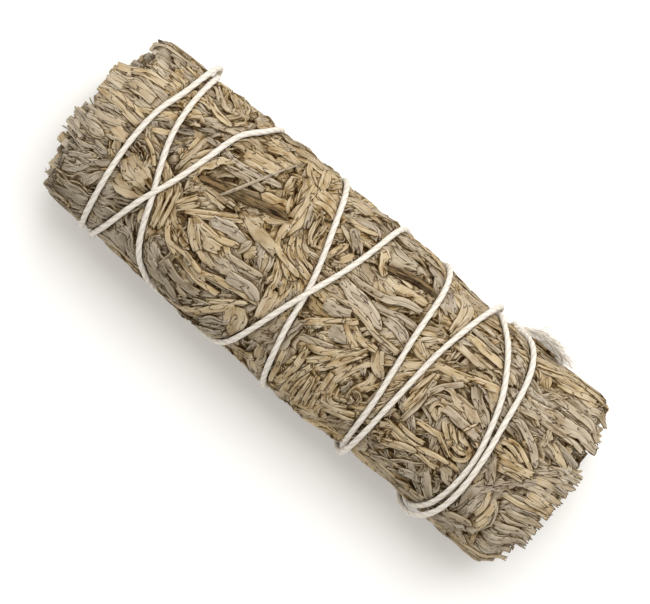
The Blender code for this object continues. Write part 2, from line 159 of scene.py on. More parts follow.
# %% Route
STRING_RADIUS = 0.65
STRING_ROUTE = (
    (27.0, 106), (28.4, 90), (32.3, 56), (33.9, 36), (35.0, 12), (36.0, -10), (36.5, -30),
    (36.2, -48), (35.0, -64), (32.9, -80), (29.6, -104), (27.2, -140), (25.4, -180), (23.9, -222),
    (22.9, -255), (22.2, -279), (21.2, -301), (20.3, -321), (19.5, -341), (19.2, -362),
    (18.9, -387), (18.6, -413), (17.9, -440), (15.8, -470), (13.6, -505), (11.4, -540),
    (7.3, -590), (4.6, -612), (2.7, -632), (1.0, -675), (-0.5, -699), (-2.7, -723), (-4.4, -742),
    (-6.0, -764), (-8.6, -797), (-12.2, -821), (-16.4, -848), (-19.6, -895), (-21.6, -945),
    (-23.0, -990), (-24.6, -1016), (-27.6, -1036), (-29.2, -1060), (-30.9, -1084), (-33.3, -1110),
    (-35.1, -1145), (-35.8, -1170), (-36.0, -1215), (-36.3, -1270), (-36.7, -1320), (-37.2, -1350),
    (-38.7, -1393), (-40.2, -1416), (-40.5, -1440), (-40.0, -1465), (-38.6, -1500), (-37.9, -1530),
    (-38.6, -1575), (-38.9, -1625), (-38.2, -1665), (-36.5, -1710), (-36.8, -1756), (-36.0, -1782),
    (-34.1, -1803), (-32.0, -1821), (-29.8, -1842), (-27.4, -1860), (-24.9, -1874), (-20.9, -1900),
    (-16.4, -1926), (-13.4, -1965), (-11.6, -2010), (-10.3, -2055), (-9.4, -2081), (-7.0, -2115),
    (-4.4, -2144), (-2.9, -2165), (-2.0, -2187), (-0.5, -2212), (1.0, -2242), (2.8, -2285),
    (4.6, -2335), (7.4, -2385), (10.6, -2412), (12.2, -2438), (13.9, -2467), (14.8, -2500),
    (15.7, -2524), (16.7, -2553), (17.3, -2594), (18.2, -2630), (19.6, -2685), (21.0, -2740),
    (22.3, -2778), (24.4, -2806), (28.0, -2829), (31.9, -2855), (34.0, -2878), (35.1, -2897),
    (35.2, -2917), (34.3, -2938), (32.5, -2958), (30.9, -2990), (30.2, -3040), (29.2, -3090),
    (27.0, -3134),
)


def curve_through(points, steps):
    """Points along a smooth curve through the given ones, with this many for each stretch."""
    points = np.asarray(points, float)
    padded = np.vstack((points[:1], points, points[-1:]))
    t = np.linspace(0, 1, steps, endpoint=False)[:, None]
    found = [
        0.5 * (2 * b + (c - a) * t + (2 * a - 5 * b + 4 * c - d) * t**2
               + (3 * b - a - 3 * c + d) * t**3)
        for a, b, c, d in zip(padded, padded[1:], padded[2:], padded[3:])
    ]
    return np.vstack((*found, points[-1:]))


def running_length(steps):
    """How far along a line each of its points is, from the lengths of its steps."""
    return np.concatenate(((0,), np.cumsum(steps)))


def length_along(line):
    """How far along a line in space each of its points is."""
    return running_length(np.linalg.norm(np.diff(line, axis=0), axis=1))


def rested(angle):
    """1 where the bundle is pressed on the surface below, falling to 0 up its sides."""
    off = np.abs(np.degrees(angle) % 360 - 180)
    share = np.clip((50 - off) / 22, 0, 1)
    return share * share * (3 - 2 * share)


ROUTE_STEP = 3  # degrees
fine = curve_through(STRING_ROUTE, 40)
turned = np.arange(STRING_ROUTE[0][1], STRING_ROUTE[-1][1], -ROUTE_STEP)
string_x = np.interp(-turned, -fine[:, 1], fine[:, 0])
string_angle = np.radians(turned)
print("turns of string:", round((turned[0] - turned[-1]) / 360, 1))

# %% [markdown]
# ## Where the string lies on itself
#
# For each place on the string, the other turns at the same angle are one or more full turns away
# along it. Where one comes closer than a string's width, the later turn needs a hump of just the
# height that clears it. Under the bundle it is the earlier turn that is pressed deeper, so that
# nothing reaches below the surface that the bundle rests on.

# %% Humps
per_turn = round(360 / ROUTE_STEP)
REACH = 2 * STRING_RADIUS + 0.2


def hump(direction):
    """Room that each place needs over (1) or under (-1) the turns laid before or after it."""
    rise = np.zeros(len(string_x))
    for turn in range(1, 9):
        shift = turn * per_turn
        near, far = (slice(None, -shift), slice(shift, None))[::direction]
        off = np.abs(string_x[near] - string_x[far])
        rise[near] = np.maximum(rise[near], np.sqrt(np.clip(REACH**2 - off**2, 0, None)))
    weights = np.exp(-0.5 * (np.arange(-12, 13) / 4.5) ** 2)
    return np.convolve(rise, weights / weights.sum(), "same") * 1.12


flat = rested(string_angle)
string_lift = (0.3 + hump(1)) * (1 - flat) - (STRING_RADIUS + 0.1 + hump(-1)) * flat
string_line = place(string_x, string_angle, rim(string_x, string_angle) + string_lift)
print("string on the bundle in mm:", round(length_along(string_line)[-1]))

# %% [markdown]
# ## A height map for laying leaves
#
# Real leaves lie on the leaves under them. To get that without a simulation, the surface of the
# bundle is unrolled into a flat map, x one way and the way round the bundle the other. The map
# holds the height of what lies there already. A new leaf reads the heights under it, is laid on
# them, and then writes its own height into the map. That is quick, and no leaf passes through
# another by more than it would by being soft.

# %% Map
CELL = 0.15
FIRST_X, CELLS_X = -54.0, 720
ROUND_RADIUS = 15.5
ROUND = 2 * math.pi * ROUND_RADIUS  # the map's size the way round the bundle
CELLS_V = round(ROUND / CELL)


def cells(x, v):
    """The map's cell at places on the unrolled surface."""
    row = np.clip(((x - FIRST_X) / CELL).round().astype(int), 0, CELLS_X - 1)
    return row * CELLS_V + (v / ROUND * CELLS_V).round().astype(int) % CELLS_V


def read_map(field, x, v):
    """What a map holds at one place."""
    return field[cells(np.float64(x), np.float64(v))]


def blurred(field, width):
    """A map softened over this many millimetres. It goes on across its own edges."""
    kx = np.fft.fftfreq(CELLS_X, CELL)[:, None]
    kv = np.fft.rfftfreq(CELLS_V, CELL)[None, :]
    soft = np.exp(-2 * (math.pi * width) ** 2 * (kx**2 + kv**2))
    return np.fft.irfft2(np.fft.rfft2(field) * soft, field.shape)


def noise_map(width, seed):
    """Smooth random hills and hollows this wide, with a spread of 1."""
    field = blurred(np.random.default_rng(seed).normal(size=(CELLS_X, CELLS_V)), width)
    return field / field.std()


heights = (0.12 * noise_map(0.9, 1) + 0.1 * noise_map(2.5, 2)).ravel()
print("map cells:", heights.size, "spread of the inner leaves in mm:", round(heights.std(), 2))

# %% [markdown]
# ## One leaf
#
# A sage leaf is a narrow wedge, thin at the root and widest near its blunt, often three-lobed
# tip. Here a leaf is a strip of a few points across and more along. Its centre line and its half
# widths are given, and its two edges are made a little uneven.

# %% Plan of a leaf
def across_points(width):
    """Shares of the half width at which a leaf has points, more of them on a broad leaf."""
    return np.linspace(-1, 1, 5 if width < 1.9 else 7 if width < 3.2 else 9)


def leaf_plan(x, v, half, shape, ragged):
    """A leaf's points on the unrolled surface, in rows along it and columns across it."""
    across = across_points(2 * half.max())
    ahead_x, ahead_v = np.gradient(x), np.gradient(v)
    size = np.hypot(ahead_x, ahead_v)
    ahead_x, ahead_v = ahead_x / size, ahead_v / size
    reach = np.zeros((len(x), len(across)))
    reach[-1] = np.interp(across, (-1, -0.5, 0, 0.5, 1), shape) * half.max()
    torn = chance.normal(0, ragged, (len(x), 2))
    torn[1:] += 0.7 * torn[:-1]
    uneven = np.clip(1 + np.where(across < 0, *torn.T[..., None]), 0.4, 1.5)
    spread = half[:, None] * across * uneven
    grid_x = x[:, None] - ahead_v[:, None] * spread + ahead_x[:, None] * reach
    grid_v = v[:, None] + ahead_x[:, None] * spread + ahead_v[:, None] * reach
    return across, ahead_x, ahead_v, grid_x, grid_v


print("points across a narrow and a broad leaf:", len(across_points(1)), len(across_points(4)))

# %% [markdown]
# ### What a leaf lies on
#
# A leaf is too stiff to follow each small fold under it, and bridges them. So its bed is the
# map's height, averaged across the leaf and softened along it. The leaf reads and writes the map
# at places that are closer together than the cells, so that none is missed.

# %% Bed of a leaf
SAMPLE = 0.13  # mm between those places
BRIDGED = 1.1  # mm that a leaf spans without bending


def fill_in(count, across, length, width):
    """Two matrices that spread a leaf's rows and columns to places closer than the cells."""
    many, wide = max(int(length / SAMPLE) + 2, 4), max(int(width / SAMPLE) + 2, 3)
    near = np.linspace(0, count - 1, many)
    by_row = np.stack([np.interp(near, np.arange(count), row) for row in np.eye(count)], -1)
    near = np.linspace(-1, 1, wide)
    by_column = np.stack([np.interp(near, across, row) for row in np.eye(len(across))])
    return by_row, by_column


def leaf_bed(under, count):
    """The height of the bed for each row of a leaf, from all heights found under it."""
    bed = 0.7 * under.mean(1) + 0.3 * under.max(1)
    span = int(BRIDGED / SAMPLE)
    soft = np.hanning(2 * span + 3)[1:-1]
    bed = np.convolve(np.pad(bed, span, "edge"), soft / soft.sum(), "valid")
    return np.interp(np.linspace(0, len(bed) - 1, count), np.arange(len(bed)), bed)


by_row, by_column = fill_in(12, across_points(2), 8, 2)
print("places read under a leaf of 8 by 2 mm:", len(by_row), "by", by_column.shape[1])

# %% [markdown]
# ### The edge of a leaf
#
# A leaf of one sheet would look like paper. So two more rows of points run round its edge: a lip
# that gives the leaf its thickness, and a narrow hem that lies on what is below. Later the lip is
# painted darker and the hem darkest, as painted shade for the crack under a leaf's edge.

# %% Lip and hem
LIP_OUT, LIP_DROP = 0.03, 0.05
HEM_OUT = 0.16


def add_edge(grid_x, grid_v, height, ahead_x, ahead_v):
    """Adds a lip and a hem along both sides of a leaf and round its tip."""
    count, wide = grid_x.shape
    out = np.zeros(wide + 4)
    out[[0, 1, -2, -1]] = -HEM_OUT, -LIP_OUT, LIP_OUT, HEM_OUT
    on = np.zeros(count + 2)
    on[-2:] = LIP_OUT, HEM_OUT
    rows = np.append(np.arange(count), (count - 1, count - 1))
    columns = np.pad(np.arange(wide), 2, "edge")
    grid_x, grid_v, height = (grid[rows][:, columns] for grid in (grid_x, grid_v, height))
    ahead_x, ahead_v = ahead_x[rows, None], ahead_v[rows, None]
    grid_x += ahead_x * on[:, None] - ahead_v * out
    grid_v += ahead_v * on[:, None] + ahead_x * out
    off = np.maximum(np.abs(out), on[:, None])
    below = np.clip(heights[cells(grid_x, grid_v)] + 0.06, height - 0.5, height - 0.04)
    height = np.where(off == LIP_OUT, height - LIP_DROP, np.where(off > LIP_OUT, below, height))
    return grid_x, grid_v, height


print("a leaf's hem reaches out by", HEM_OUT, "mm")

# %% [markdown]
# ### Laying it
#
# A dry leaf folds along its midrib and pleats lengthwise, tilts to one side, and lifts its tip,
# while its root is tucked in. All of that is added to the bed. Towards the bundle's ends, where
# the string pulls tight and the leaves are trimmed, they are pressed flatter.

# %% Laying a leaf
FLATTER_FROM, FLATTEST_FROM, FLATTEST = 37, 43, 0.4  # mm along, and the share that is left
leaves = []


def lay_leaf(x, v, half, shape, tone, shade, thick=0.13, keel=0.1, slope=0.0, pleat=0.03,
             pleats=1.0, lifted=0.0, sunk=0.3, ragged=0.08):
    """Lays a leaf whose centre line and half width are given at even steps along it.

    shape is how far the tip reaches on, from edge to edge. keel folds the leaf up or down along
    its middle, slope tilts it to one side, pleats are folds that run along it, and ragged says
    how uneven its two edges are.
    """
    flat = np.interp(abs(x.mean()), (FLATTER_FROM, FLATTEST_FROM), (1, FLATTEST))
    thick, keel, slope = thick * (0.4 + 0.6 * flat), keel * flat, slope * flat
    pleat, lifted = pleat * flat, lifted * flat
    across, ahead_x, ahead_v, grid_x, grid_v = leaf_plan(x, v, half, shape, ragged)
    along = running_length(np.hypot(np.diff(x), np.diff(v)))
    by_row, by_column = fill_in(len(x), across, along[-1], 2 * half.max())
    fine_cells = cells(by_row @ grid_x @ by_column, by_row @ grid_v @ by_column)

    bed = leaf_bed(heights[fine_cells], len(x))[:, None]
    local = heights[cells(grid_x, grid_v)]
    local[1:-1] = (local[:-2] + 2 * local[1:-1] + local[2:]) / 4
    height = bed + 0.5 * np.clip(local - bed, -0.3, 0.3)
    share = along / along[-1]
    curl = np.interp(share, (0, 0.6, 1), (0, 0.1, 1)) * lifted
    height += thick + curl[:, None] - sunk * np.clip(1 - share / 0.18, 0, 1)[:, None]
    height += half[:, None] * (keel * (0.5 - np.abs(across)) + slope * across)
    phase = chance.uniform(0, 6.3, 2)
    folds = across * pleats + 0.12 * np.sin(along * 0.7 + phase[0])[:, None] + phase[1]
    height += pleat * (4 * np.abs(folds % 1 - 0.5) - 1)

    top = by_row @ height @ by_column
    leaves.append((*add_edge(grid_x, grid_v, height, ahead_x, ahead_v), half, tone, shade))
    np.maximum.at(heights, fine_cells, top)


print("at the ends, folds are lower by a factor of", FLATTEST)

# %% [markdown]
# ## Kinds of leaf
#
# Four kinds cover the bundle: the wedge leaf, the long strip that is a folded leaf or a thin
# stalk, the broad pleated patch of leaves that are pressed into one, and the crumb, a broken bit
# that fills a hollow. Each kind draws its own sizes, so no two leaves are alike, and a fixed seed
# makes the same bundle every time.

# %% Leaf kinds
LOBED = (0.1, 0.75, 0.35, 0.75, 0.1)
NOTCHED = (0.35, 0.9, 0.3, 0.8, 0.2)
ROUND_TIP = (0.0, 0.6, 0.9, 0.6, 0.0)
POINTED = (-0.3, 0.6, 1.5, 0.4, -0.4)
BLUNT = (0.1, 0.2, 0.15, 0.05, 0.2)
TORN = (0.3, -0.2, 0.5, 0.1, 0.6)
TRIMMED_FROM = 44  # mm along


def tip_shape(line, *shapes):
    """One of these tips at random, but a blunt one where the bundle's ends are trimmed."""
    shape = shapes[chance.integers(len(shapes))]
    return BLUNT if abs(line[0][-1]) > TRIMMED_FROM else shape


def wedge_leaf(line, width, tone, shade):
    """A single leaf, narrow at its root."""
    share = np.linspace(0, 1, len(line[0]))
    half = width / 2 * (0.25 + 0.75 * np.clip(share / 0.7, 0, 1) ** 1.2)
    half *= 1 - 0.3 * np.clip((share - 0.8) / 0.2, 0, 1) ** 2
    shape = tip_shape(line, LOBED, NOTCHED, ROUND_TIP, POINTED, BLUNT)
    lay_leaf(*line, half, shape, tone, shade, thick=chance.uniform(0.05, 0.12),
             keel=chance.choice((-0.07, 0.03, 0.08)), slope=chance.normal(0, 0.06),
             pleat=chance.uniform(0.0, 0.03), pleats=chance.uniform(0.6, 1.6),
             lifted=max(chance.normal(-0.15, 0.22), 0))


def strip_leaf(line, width, tone, shade):
    """A folded leaf or a thin stalk, of much the same width all along."""
    share = np.linspace(0, 1, len(line[0]))
    half = width / 2 * (0.55 + 0.45 * np.sin(np.clip(share * 1.15, 0, 1) * math.pi) ** 0.6)
    half *= 1 + 0.1 * np.sin(share * 9 + line[0][0])
    shape = tip_shape(line, BLUNT, TORN, POINTED)
    lay_leaf(*line, half, shape, tone, shade, thick=chance.uniform(0.07, 0.15),
             keel=chance.choice((-0.15, 0.05, 0.2)),
             slope=chance.normal(0, 0.15), pleat=chance.uniform(0.0, 0.04), pleats=1.0,
             lifted=max(chance.normal(-0.25, 0.25), 0))


def broad_patch(line, width, tone, shade):
    """Several leaves that are pressed into one, with pleats."""
    share = np.linspace(0, 1, len(line[0]))
    half = width / 2 * (0.35 + 0.65 * np.sin(math.pi * (0.1 + 0.8 * share)) ** 0.8)
    half *= 1 + 0.1 * np.sin(share * 11 + width)
    shape = (ROUND_TIP, BLUNT)[chance.integers(2)]
    lay_leaf(*line, half, shape, tone, shade, thick=0.1, keel=0.03,
             slope=chance.normal(0, 0.05), pleat=chance.uniform(0.04, 0.12),
             pleats=width * chance.uniform(0.35, 0.7), ragged=0.12)


def crumb(line, width, tone, shade):
    """A broken bit of leaf."""
    half = width / 2 * chance.uniform(0.6, 1.1, len(line[0]))
    half[[0, -1]] *= 0.5
    lay_leaf(*line, half, TORN, tone, shade, thick=chance.uniform(0.05, 0.15),
             keel=chance.normal(0, 0.3), slope=chance.normal(0, 0.3), pleat=0.06, lifted=0.1,
             sunk=0.1, ragged=0.18)


print("leaf kinds:", [f.__name__ for f in (wedge_leaf, strip_leaf, broad_patch, crumb)])

# %% [markdown]
# ## The flow of the leaves
#
# The leaves aren't strewn one by one. Stems are laid side by side and twisted a little, so near
# both ends all leaves run along the bundle, and in the middle they flow in swirls, like hair. On
# the front the directions are read off the photograph, each at a place along and round. At the
# back, which the photograph doesn't show, a smooth random field goes on in the same way. A
# direction has no arrow here, since a leaf may lie either way, so doubled angles are averaged.

# %% Flow
# Each: mm along, degrees round, and the way that the leaves run there, in degrees from the axis
FLOW = (
    (-47, 60, 0), (-47, 30, 2), (-47, 5, 10), (-47, -20, 8), (-46, -50, 3), (-43, 45, 0),
    (-43, 10, 0), (-43, -15, 30), (-42, -40, 70), (-42, -65, 0), (-42, 75, 3), (-38, 50, -8),
    (-37, 25, 30), (-37, 0, -15), (-37, -15, 0), (-37, -32, 60), (-37, -52, 5), (-34, 70, -55),
    (-33, 45, 12), (-31, 18, 90), (-33, -5, -60), (-35, -65, 60), (-30, -25, -62), (-29, -45, -60),
    (-30, -68, 0), (-28, 40, 55), (-27, 25, 45), (-29, 0, 70), (-26, -12, 50), (-27, -30, -40),
    (-29, 70, 80), (-22, 60, 8), (-22, 45, -5), (-22, 30, 8), (-24, 5, 0), (-21, -2, 38),
    (-25, -10, 42), (-16, 15, 30), (-16, 3, -8), (-16, -8, 60), (-21, -12, 5), (-15, -17, -5),
    (-22, -22, -35), (-19, -30, 10), (-23, -42, -10), (-16, -38, 12), (-22, -52, 0),
    (-22, -65, -10), (-16, -50, 55), (-14, -65, 60), (-18, 45, 15), (-12, 60, -80), (-12, 30, 88),
    (-10, 33, -60), (-12, 15, 75), (-10, 8, -45), (-8, 3, -25), (-8, -8, -80), (-6, -12, -80),
    (-11, -8, -70), (-12, -22, 0), (-7, -25, -75), (-9, -45, 60), (-11, -60, 85), (-9, 47, 0),
    (-8, 40, -10), (-9, 70, 50), (-5, 70, 30), (-3, 50, -5), (-2, 40, -40), (-3, 30, 60),
    (-4, 15, 5), (-3, 5, -5), (-3, -25, 80), (-3, -45, 90), (-5, -68, 15), (-2, -62, -60),
    (-6, 32, 85), (2, 70, -30), (3, 42, -55), (8, 55, 12), (6, 65, -20), (12, 62, 10), (8, 45, 8),
    (3, 33, 5), (8, 30, 5), (11, 28, 30), (4, 17, 5), (11, 17, -5), (8, 6, -8), (3, -3, -30),
    (3, -12, 45), (8, -5, -20), (6, -20, 30), (9, -15, 50), (12, -5, 5), (12, -18, 60),
    (13, -30, 50), (8, -30, 70), (3, -40, 80), (6, -50, 88), (9, -50, 100), (2, -65, 75),
    (12, -46, 0), (13, -57, 8), (9, -65, 70), (0, -35, -80), (17, 60, -30), (19, 45, -80),
    (16, 35, 20), (16, 17, -12), (17, 5, 35), (17, -10, 65), (17, -30, 70), (16, -50, 20),
    (19, 70, 5), (22, 60, 0), (23, 43, 0), (22, 33, 5), (22, 18, 10), (21, -5, 82), (23, 8, 50),
    (24, -12, 70), (24, -25, 20), (23, -35, -3), (24, -45, 15), (24, -58, 10), (24, -70, 0),
    (28, 75, 0), (28, 60, 0), (28, 42, 0), (29, 25, 12), (30, 12, -35), (29, 4, 0), (29, -5, -2),
    (28, -13, -60), (32, -14, -50), (30, -22, 0), (30, -33, 3), (30, -45, 8), (30, -60, 5),
    (31, 50, -20), (33, 35, -50), (38, 75, 0), (40, 55, 0), (43, 45, 3), (40, 35, 8),
    (39, 20, -20), (43, 20, -20), (46, 28, 5), (38, 5, 5), (47, 8, 25), (47, 0, 15), (40, -4, 12),
    (38, -14, -60), (42, -15, 50), (47, -12, 3), (46, -22, 5), (47, -32, 0), (42, -38, 75),
    (37, -30, -75), (46, -48, 6), (47, -60, 0), (38, -55, 30), (42, -62, -20), (43, -72, 10),
)
FLOW_REACH = 2.6  # mm round each place in which its direction counts
# Each end's outline, as pairs of mm across and mm along: neither end is cut straight
LEFT_OUTLINE = (
    (-18, 39.8), (-15.5, 42.7), (-14.6, 46.0), (-13, 46.8), (-10, 47.6), (-7.2, 48.2),
    (-6.6, 48.7), (-3, 49.4), (-0.5, 48.5), (3, 48.9), (5.8, 49.2), (6.6, 47.2), (7.8, 47.6),
    (8.6, 47.2), (12, 46.6), (15, 46.7), (16.3, 42.6),
)
RIGHT_OUTLINE = (
    (-17, 43.5), (-16.2, 45.4), (-14.9, 47.3), (-13.6, 47.9), (-12, 47.7), (-10.4, 49.1),
    (-7.6, 49.7), (-5, 49.2), (-3, 48.9), (-1, 49.3), (1.5, 50.1), (3.9, 49.8), (4.9, 48.3),
    (6.8, 47.6), (7.6, 46.8), (9, 48.0), (11, 47.9), (12, 46.8), (14.3, 46.7), (15.6, 44.6),
    (17, 43.0),
)


def end_reach(y, way):
    """How far the leaf tips reach at a place across. way is below 0 at the leafy end."""
    return np.interp(y, *np.transpose(LEFT_OUTLINE if way < 0 else RIGHT_OUTLINE))


def end_reach_at(v, way):
    """How far they reach at a place round the unrolled surface."""
    return end_reach(15 * math.sin(v / ROUND_RADIUS), way)


def middle_share(x):
    """1 in the middle of the bundle, where leaves lie every way, and 0 near its ends."""
    return np.clip((41 - abs(x)) / 15, 0, 1)


map_x = FIRST_X + CELL * np.arange(CELLS_X)[:, None]
map_v = ROUND / CELLS_V * np.arange(CELLS_V)[None, :]


def nearness(at_x, degrees, reach):
    """How near each cell of the map is to a place: 1 there, and less over this many mm."""
    off_v = (map_v - math.radians(degrees) * ROUND_RADIUS + ROUND / 2) % ROUND - ROUND / 2
    return np.exp(-0.5 * ((map_x - at_x) / reach) ** 2) * np.exp(-0.5 * (off_v / reach) ** 2)


swirl = (noise_map(5.5, 11) + 0.35 * noise_map(2.2, 12)) * middle_share(map_x)
flow_cos, flow_sin = 0.02 * np.cos(1.9 * swirl), 0.02 * np.sin(1.9 * swirl)
for at_x, degrees, heading in FLOW:
    near = nearness(at_x, degrees, FLOW_REACH)
    flow_cos += near * math.cos(math.radians(2 * heading))
    flow_sin += near * math.sin(math.radians(2 * heading))
flow = (0.5 * np.arctan2(flow_sin, flow_cos)).ravel()
print("directions read off the photograph:", len(FLOW))

# %% [markdown]
# ## A line that follows the flow
#
# Hair and grass are often drawn by walking through a field of directions, a short step at a time.
# A leaf's centre line is found so too, but it keeps most of its own direction at each step, since
# a leaf is stiff. Near the bundle's ends it stops where the leaves were trimmed.

# %% Flowing line
STIFFNESS = 0.6  # how much of its own direction a leaf keeps from one point to the next
NEAR_END = 43  # mm along, from where a line may end at the outline


def flowing_line(x, v, backward, turned, bend, length, step=0.75):
    """A line from x, v that follows the flow at an angle to it, and bends and sways by itself."""
    count = max(int(length / step) + 1, 5)
    step = length / (count - 1)
    line = np.empty((2, count))
    heading = None
    wave, often, phase, trim = chance.uniform((0, 1.0, 0, 0.1), (0.4, 2.0, 6.3, 1.0))
    for k in range(count):
        line[:, k] = x, v
        wanted = read_map(flow, x, v) + turned + bend * (k / count - 0.3)
        if heading is None:
            heading = wanted + math.pi * (backward ^ (math.cos(wanted) < 0))
        turn = (wanted - heading + math.pi / 2) % math.pi - math.pi / 2
        heading += (1 - STIFFNESS) * turn
        way = heading + wave * math.sin(often * k * step + phase)
        x, v = x + math.cos(way) * step, v + math.sin(way) * step
        if abs(x) > NEAR_END and abs(x) > end_reach_at(v, x) - trim:
            return line[:, :k + 1] if k > 3 else None
    return line


print("of its own direction, a leaf keeps at each step:", STIFFNESS)

# %% [markdown]
# ## Tufts
#
# Leaves grow in tufts, fanned out from a short shoot, and a tuft keeps its fan when it is
# pressed. So tufts are placed, evenly but jittered, and laid in random order. Each lays its
# leaves side by side, in one colour, khaki or grey, that they nearly share. Between them come
# broad patches and crumbs. Which places are greyer, darker or paler is listed.

# %% Tufts of leaves
# Each: mm along, degrees round, mm of reach, how much greyer and how much paler the leaves are.
# The two darkest, at -33.5, 24 and at 24, -12, are painted shade for dark hollows between leaves.
DIFFERENT_PLACES = (
    (-46, -24, 6.5, 1.3, -0.9), (-47, -50, 6, 0.8, -0.3), (-45, 62, 5, 1.0, -0.5),
    (-33.5, 24, 2.6, 1.3, -1.8), (-27, 26, 3, 0.7, -0.3), (-22, 33, 3, 0.4, 0.1),
    (-19, -6, 2.5, 0.6, -0.2), (-11, -26, 3, 0.6, 0.0), (-24, -60, 6, 0.9, -0.5),
    (-12, -60, 5, 0.4, -0.5), (-3, -50, 4, 0.4, -0.6), (-32, -62, 4, 0.5, -0.5),
    (-37, -20, 4, -0.4, 0.2), (-12, 30, 5, -0.4, 0.3), (-4, -12, 4, -0.3, 0.1),
    (-33, 48, 6, -0.4, 0.2), (5, 14, 4, 0.6, 0.3), (44, 32, 5, 0.8, 0.0), (45, -38, 6, 0.9, -0.1),
    (5, -14, 3, 0.6, -0.1), (24, -12, 2.4, 0.8, -1.2), (17, 45, 3, 0.5, 0.1),
    (8, 65, 4, 0.5, -0.1), (15, 25, 3, 0.5, 0.2), (6, -50, 5, -0.3, -0.3), (24, -52, 4, 0.7, -0.5),
)
greyness, paleness = 0.3 + 0.15 * noise_map(5, 3), 0.15 * noise_map(4, 4)
for at_x, degrees, reach, greyer, paler in DIFFERENT_PLACES:
    near = nearness(at_x, degrees, reach)
    greyness, paleness = greyness + near * greyer, paleness + near * paler
greyness, paleness = greyness.ravel(), paleness.ravel()


def tone_at(x, v):
    """0 is khaki and 1 is grey, which is commoner towards the cut ends."""
    return read_map(greyness, x, v) + 0.12 * np.clip((x - 15) / 30, 0, 1)


def shade_at(x, v):
    """Below 0 is darker than most leaves, above is paler."""
    return read_map(paleness, x, v)


print("grey and pale at the middle:", round(tone_at(0, 0), 2), round(shade_at(0, 0), 2))

# %% [markdown]
# ### What is laid at each place
#
# A tuft in the middle may point anywhere and fans out wide. One near an end runs along the bundle,
# with its tips outward. Patches and crumbs are single leaves that follow the flow less closely.

# %% Tuft, patch and crumbs
def lay_tuft(x, v):
    """A fan of leaves side by side, which nearly share a direction and a colour."""
    free = middle_share(x)
    backward = bool(chance.random() < (0.7 if free > 0 else 0.8 if x < 0 else 0.2))
    turned = chance.normal(0, 0.1 + (0.15 if chance.random() < 0.75 else 0.8) * free)
    bend = chance.normal(0, 0.1 + 0.3 * free)
    fan = chance.uniform(0.05, 0.25 + 0.35 * free)
    tone = tone_at(x, v) + chance.normal(0, 0.2)
    shade = shade_at(x, v) + chance.normal(0, 0.2)
    slim = chance.random() < 0.8 - 0.45 * free
    count = chance.integers(3, 9)
    heading = read_map(flow, x, v) + turned
    for k in chance.permutation(count):
        across = (k + 0.5) / count - 0.5
        aside, back = across * count * chance.uniform(0.55, 0.95), chance.normal(0, 2.0)
        start_x = x - math.sin(heading) * aside - math.cos(heading) * back
        start_v = v + math.cos(heading) * aside - math.sin(heading) * back
        length = chance.uniform(4, 11) + 4 * (1 - free)
        width = chance.uniform(0.7, 1.5) if slim else chance.uniform(1.0, 2.1 + 0.6 * free)
        edge = end_reach_at(start_v, x) - 1.0
        line = flowing_line(float(np.clip(start_x, -edge, edge)), start_v, backward,
                            turned + across * fan + chance.normal(0, 0.12 + 0.1 * free),
                            bend + chance.normal(0, 0.15), length)
        if line is not None:
            (strip_leaf if slim else wedge_leaf)(
                line, width, tone + chance.normal(0, 0.15), shade + chance.normal(0, 0.35))


def lay_patch(x, v):
    """A broad patch, of which few lie near the ends."""
    if abs(x) > 41 and chance.random() < 0.7:
        return
    line = flowing_line(x, v, bool(chance.random() < 0.5), chance.normal(0, 0.4),
                        chance.normal(0, 0.3), chance.uniform(4, 9))
    if line is not None:
        broad_patch(line, chance.uniform(2.2, 5.5), tone_at(x, v) + chance.normal(0, 0.2),
                    shade_at(x, v) + chance.normal(0, 0.25))


def lay_crumbs(x, v):
    """A handful of broken bits strewn about a place."""
    for _ in range(chance.integers(3, 8)):
        line = flowing_line(float(np.clip(x + chance.normal(0, 2.5), -46, 46)),
                            v + chance.normal(0, 2.5), False, chance.uniform(0, 3.1),
                            chance.normal(0, 1.2), chance.uniform(1.2, 3.6), 0.45)
        if line is not None:
            crumb(line, chance.uniform(0.7, 2.0), chance.normal(0.5, 0.3),
                  chance.normal(-0.1, 0.5))


print("kinds of heap:", [f.__name__ for f in (lay_tuft, lay_patch, lay_crumbs)])

# %% [markdown]
# ### Laying them all
#
# The places are a grid whose cells each hold one at random, so that they are spread evenly but
# show no rows. Both ends get more of them, since all leaves there run out to the trimmed tips.

# %% All tufts
TUFTS_ALONG, TUFTS_ROUND, END_TUFTS = 28, 23, 54
spots = [
    (-47 + 94 * (i + chance.uniform(0, 1)) / TUFTS_ALONG,
     ROUND * (j + chance.uniform(0, 1)) / TUFTS_ROUND)
    for i in range(TUFTS_ALONG) for j in range(TUFTS_ROUND)
]
spots += [(way * chance.uniform(40, 45), ROUND * (j + chance.uniform(0, 1)) / END_TUFTS)
          for way in (-1, 1) for j in range(END_TUFTS)]
for spot in chance.permutation(len(spots)):
    lay_tuft(*spots[spot])
    if chance.random() < 0.7:
        lay_patch(*spots[spot])
    if chance.random() < 0.3 and abs(spots[spot][0]) < NEAR_END:
        lay_crumbs(*spots[spot])
print("leaves laid:", len(leaves), "pile in mm:", round(float(heights.mean()), 2))

# %% [markdown]
# ## Leaves that stand out
#
# Some leaves catch the eye in the photograph: long straight strips, a broad pale one with a fork,
# nested curved ones, blades that lie crosswise. They are laid last, on top. Each is a short list
# of places, its width, and its look: 0 for khaki to 1 for grey, and -1 for dark to 1 for pale.

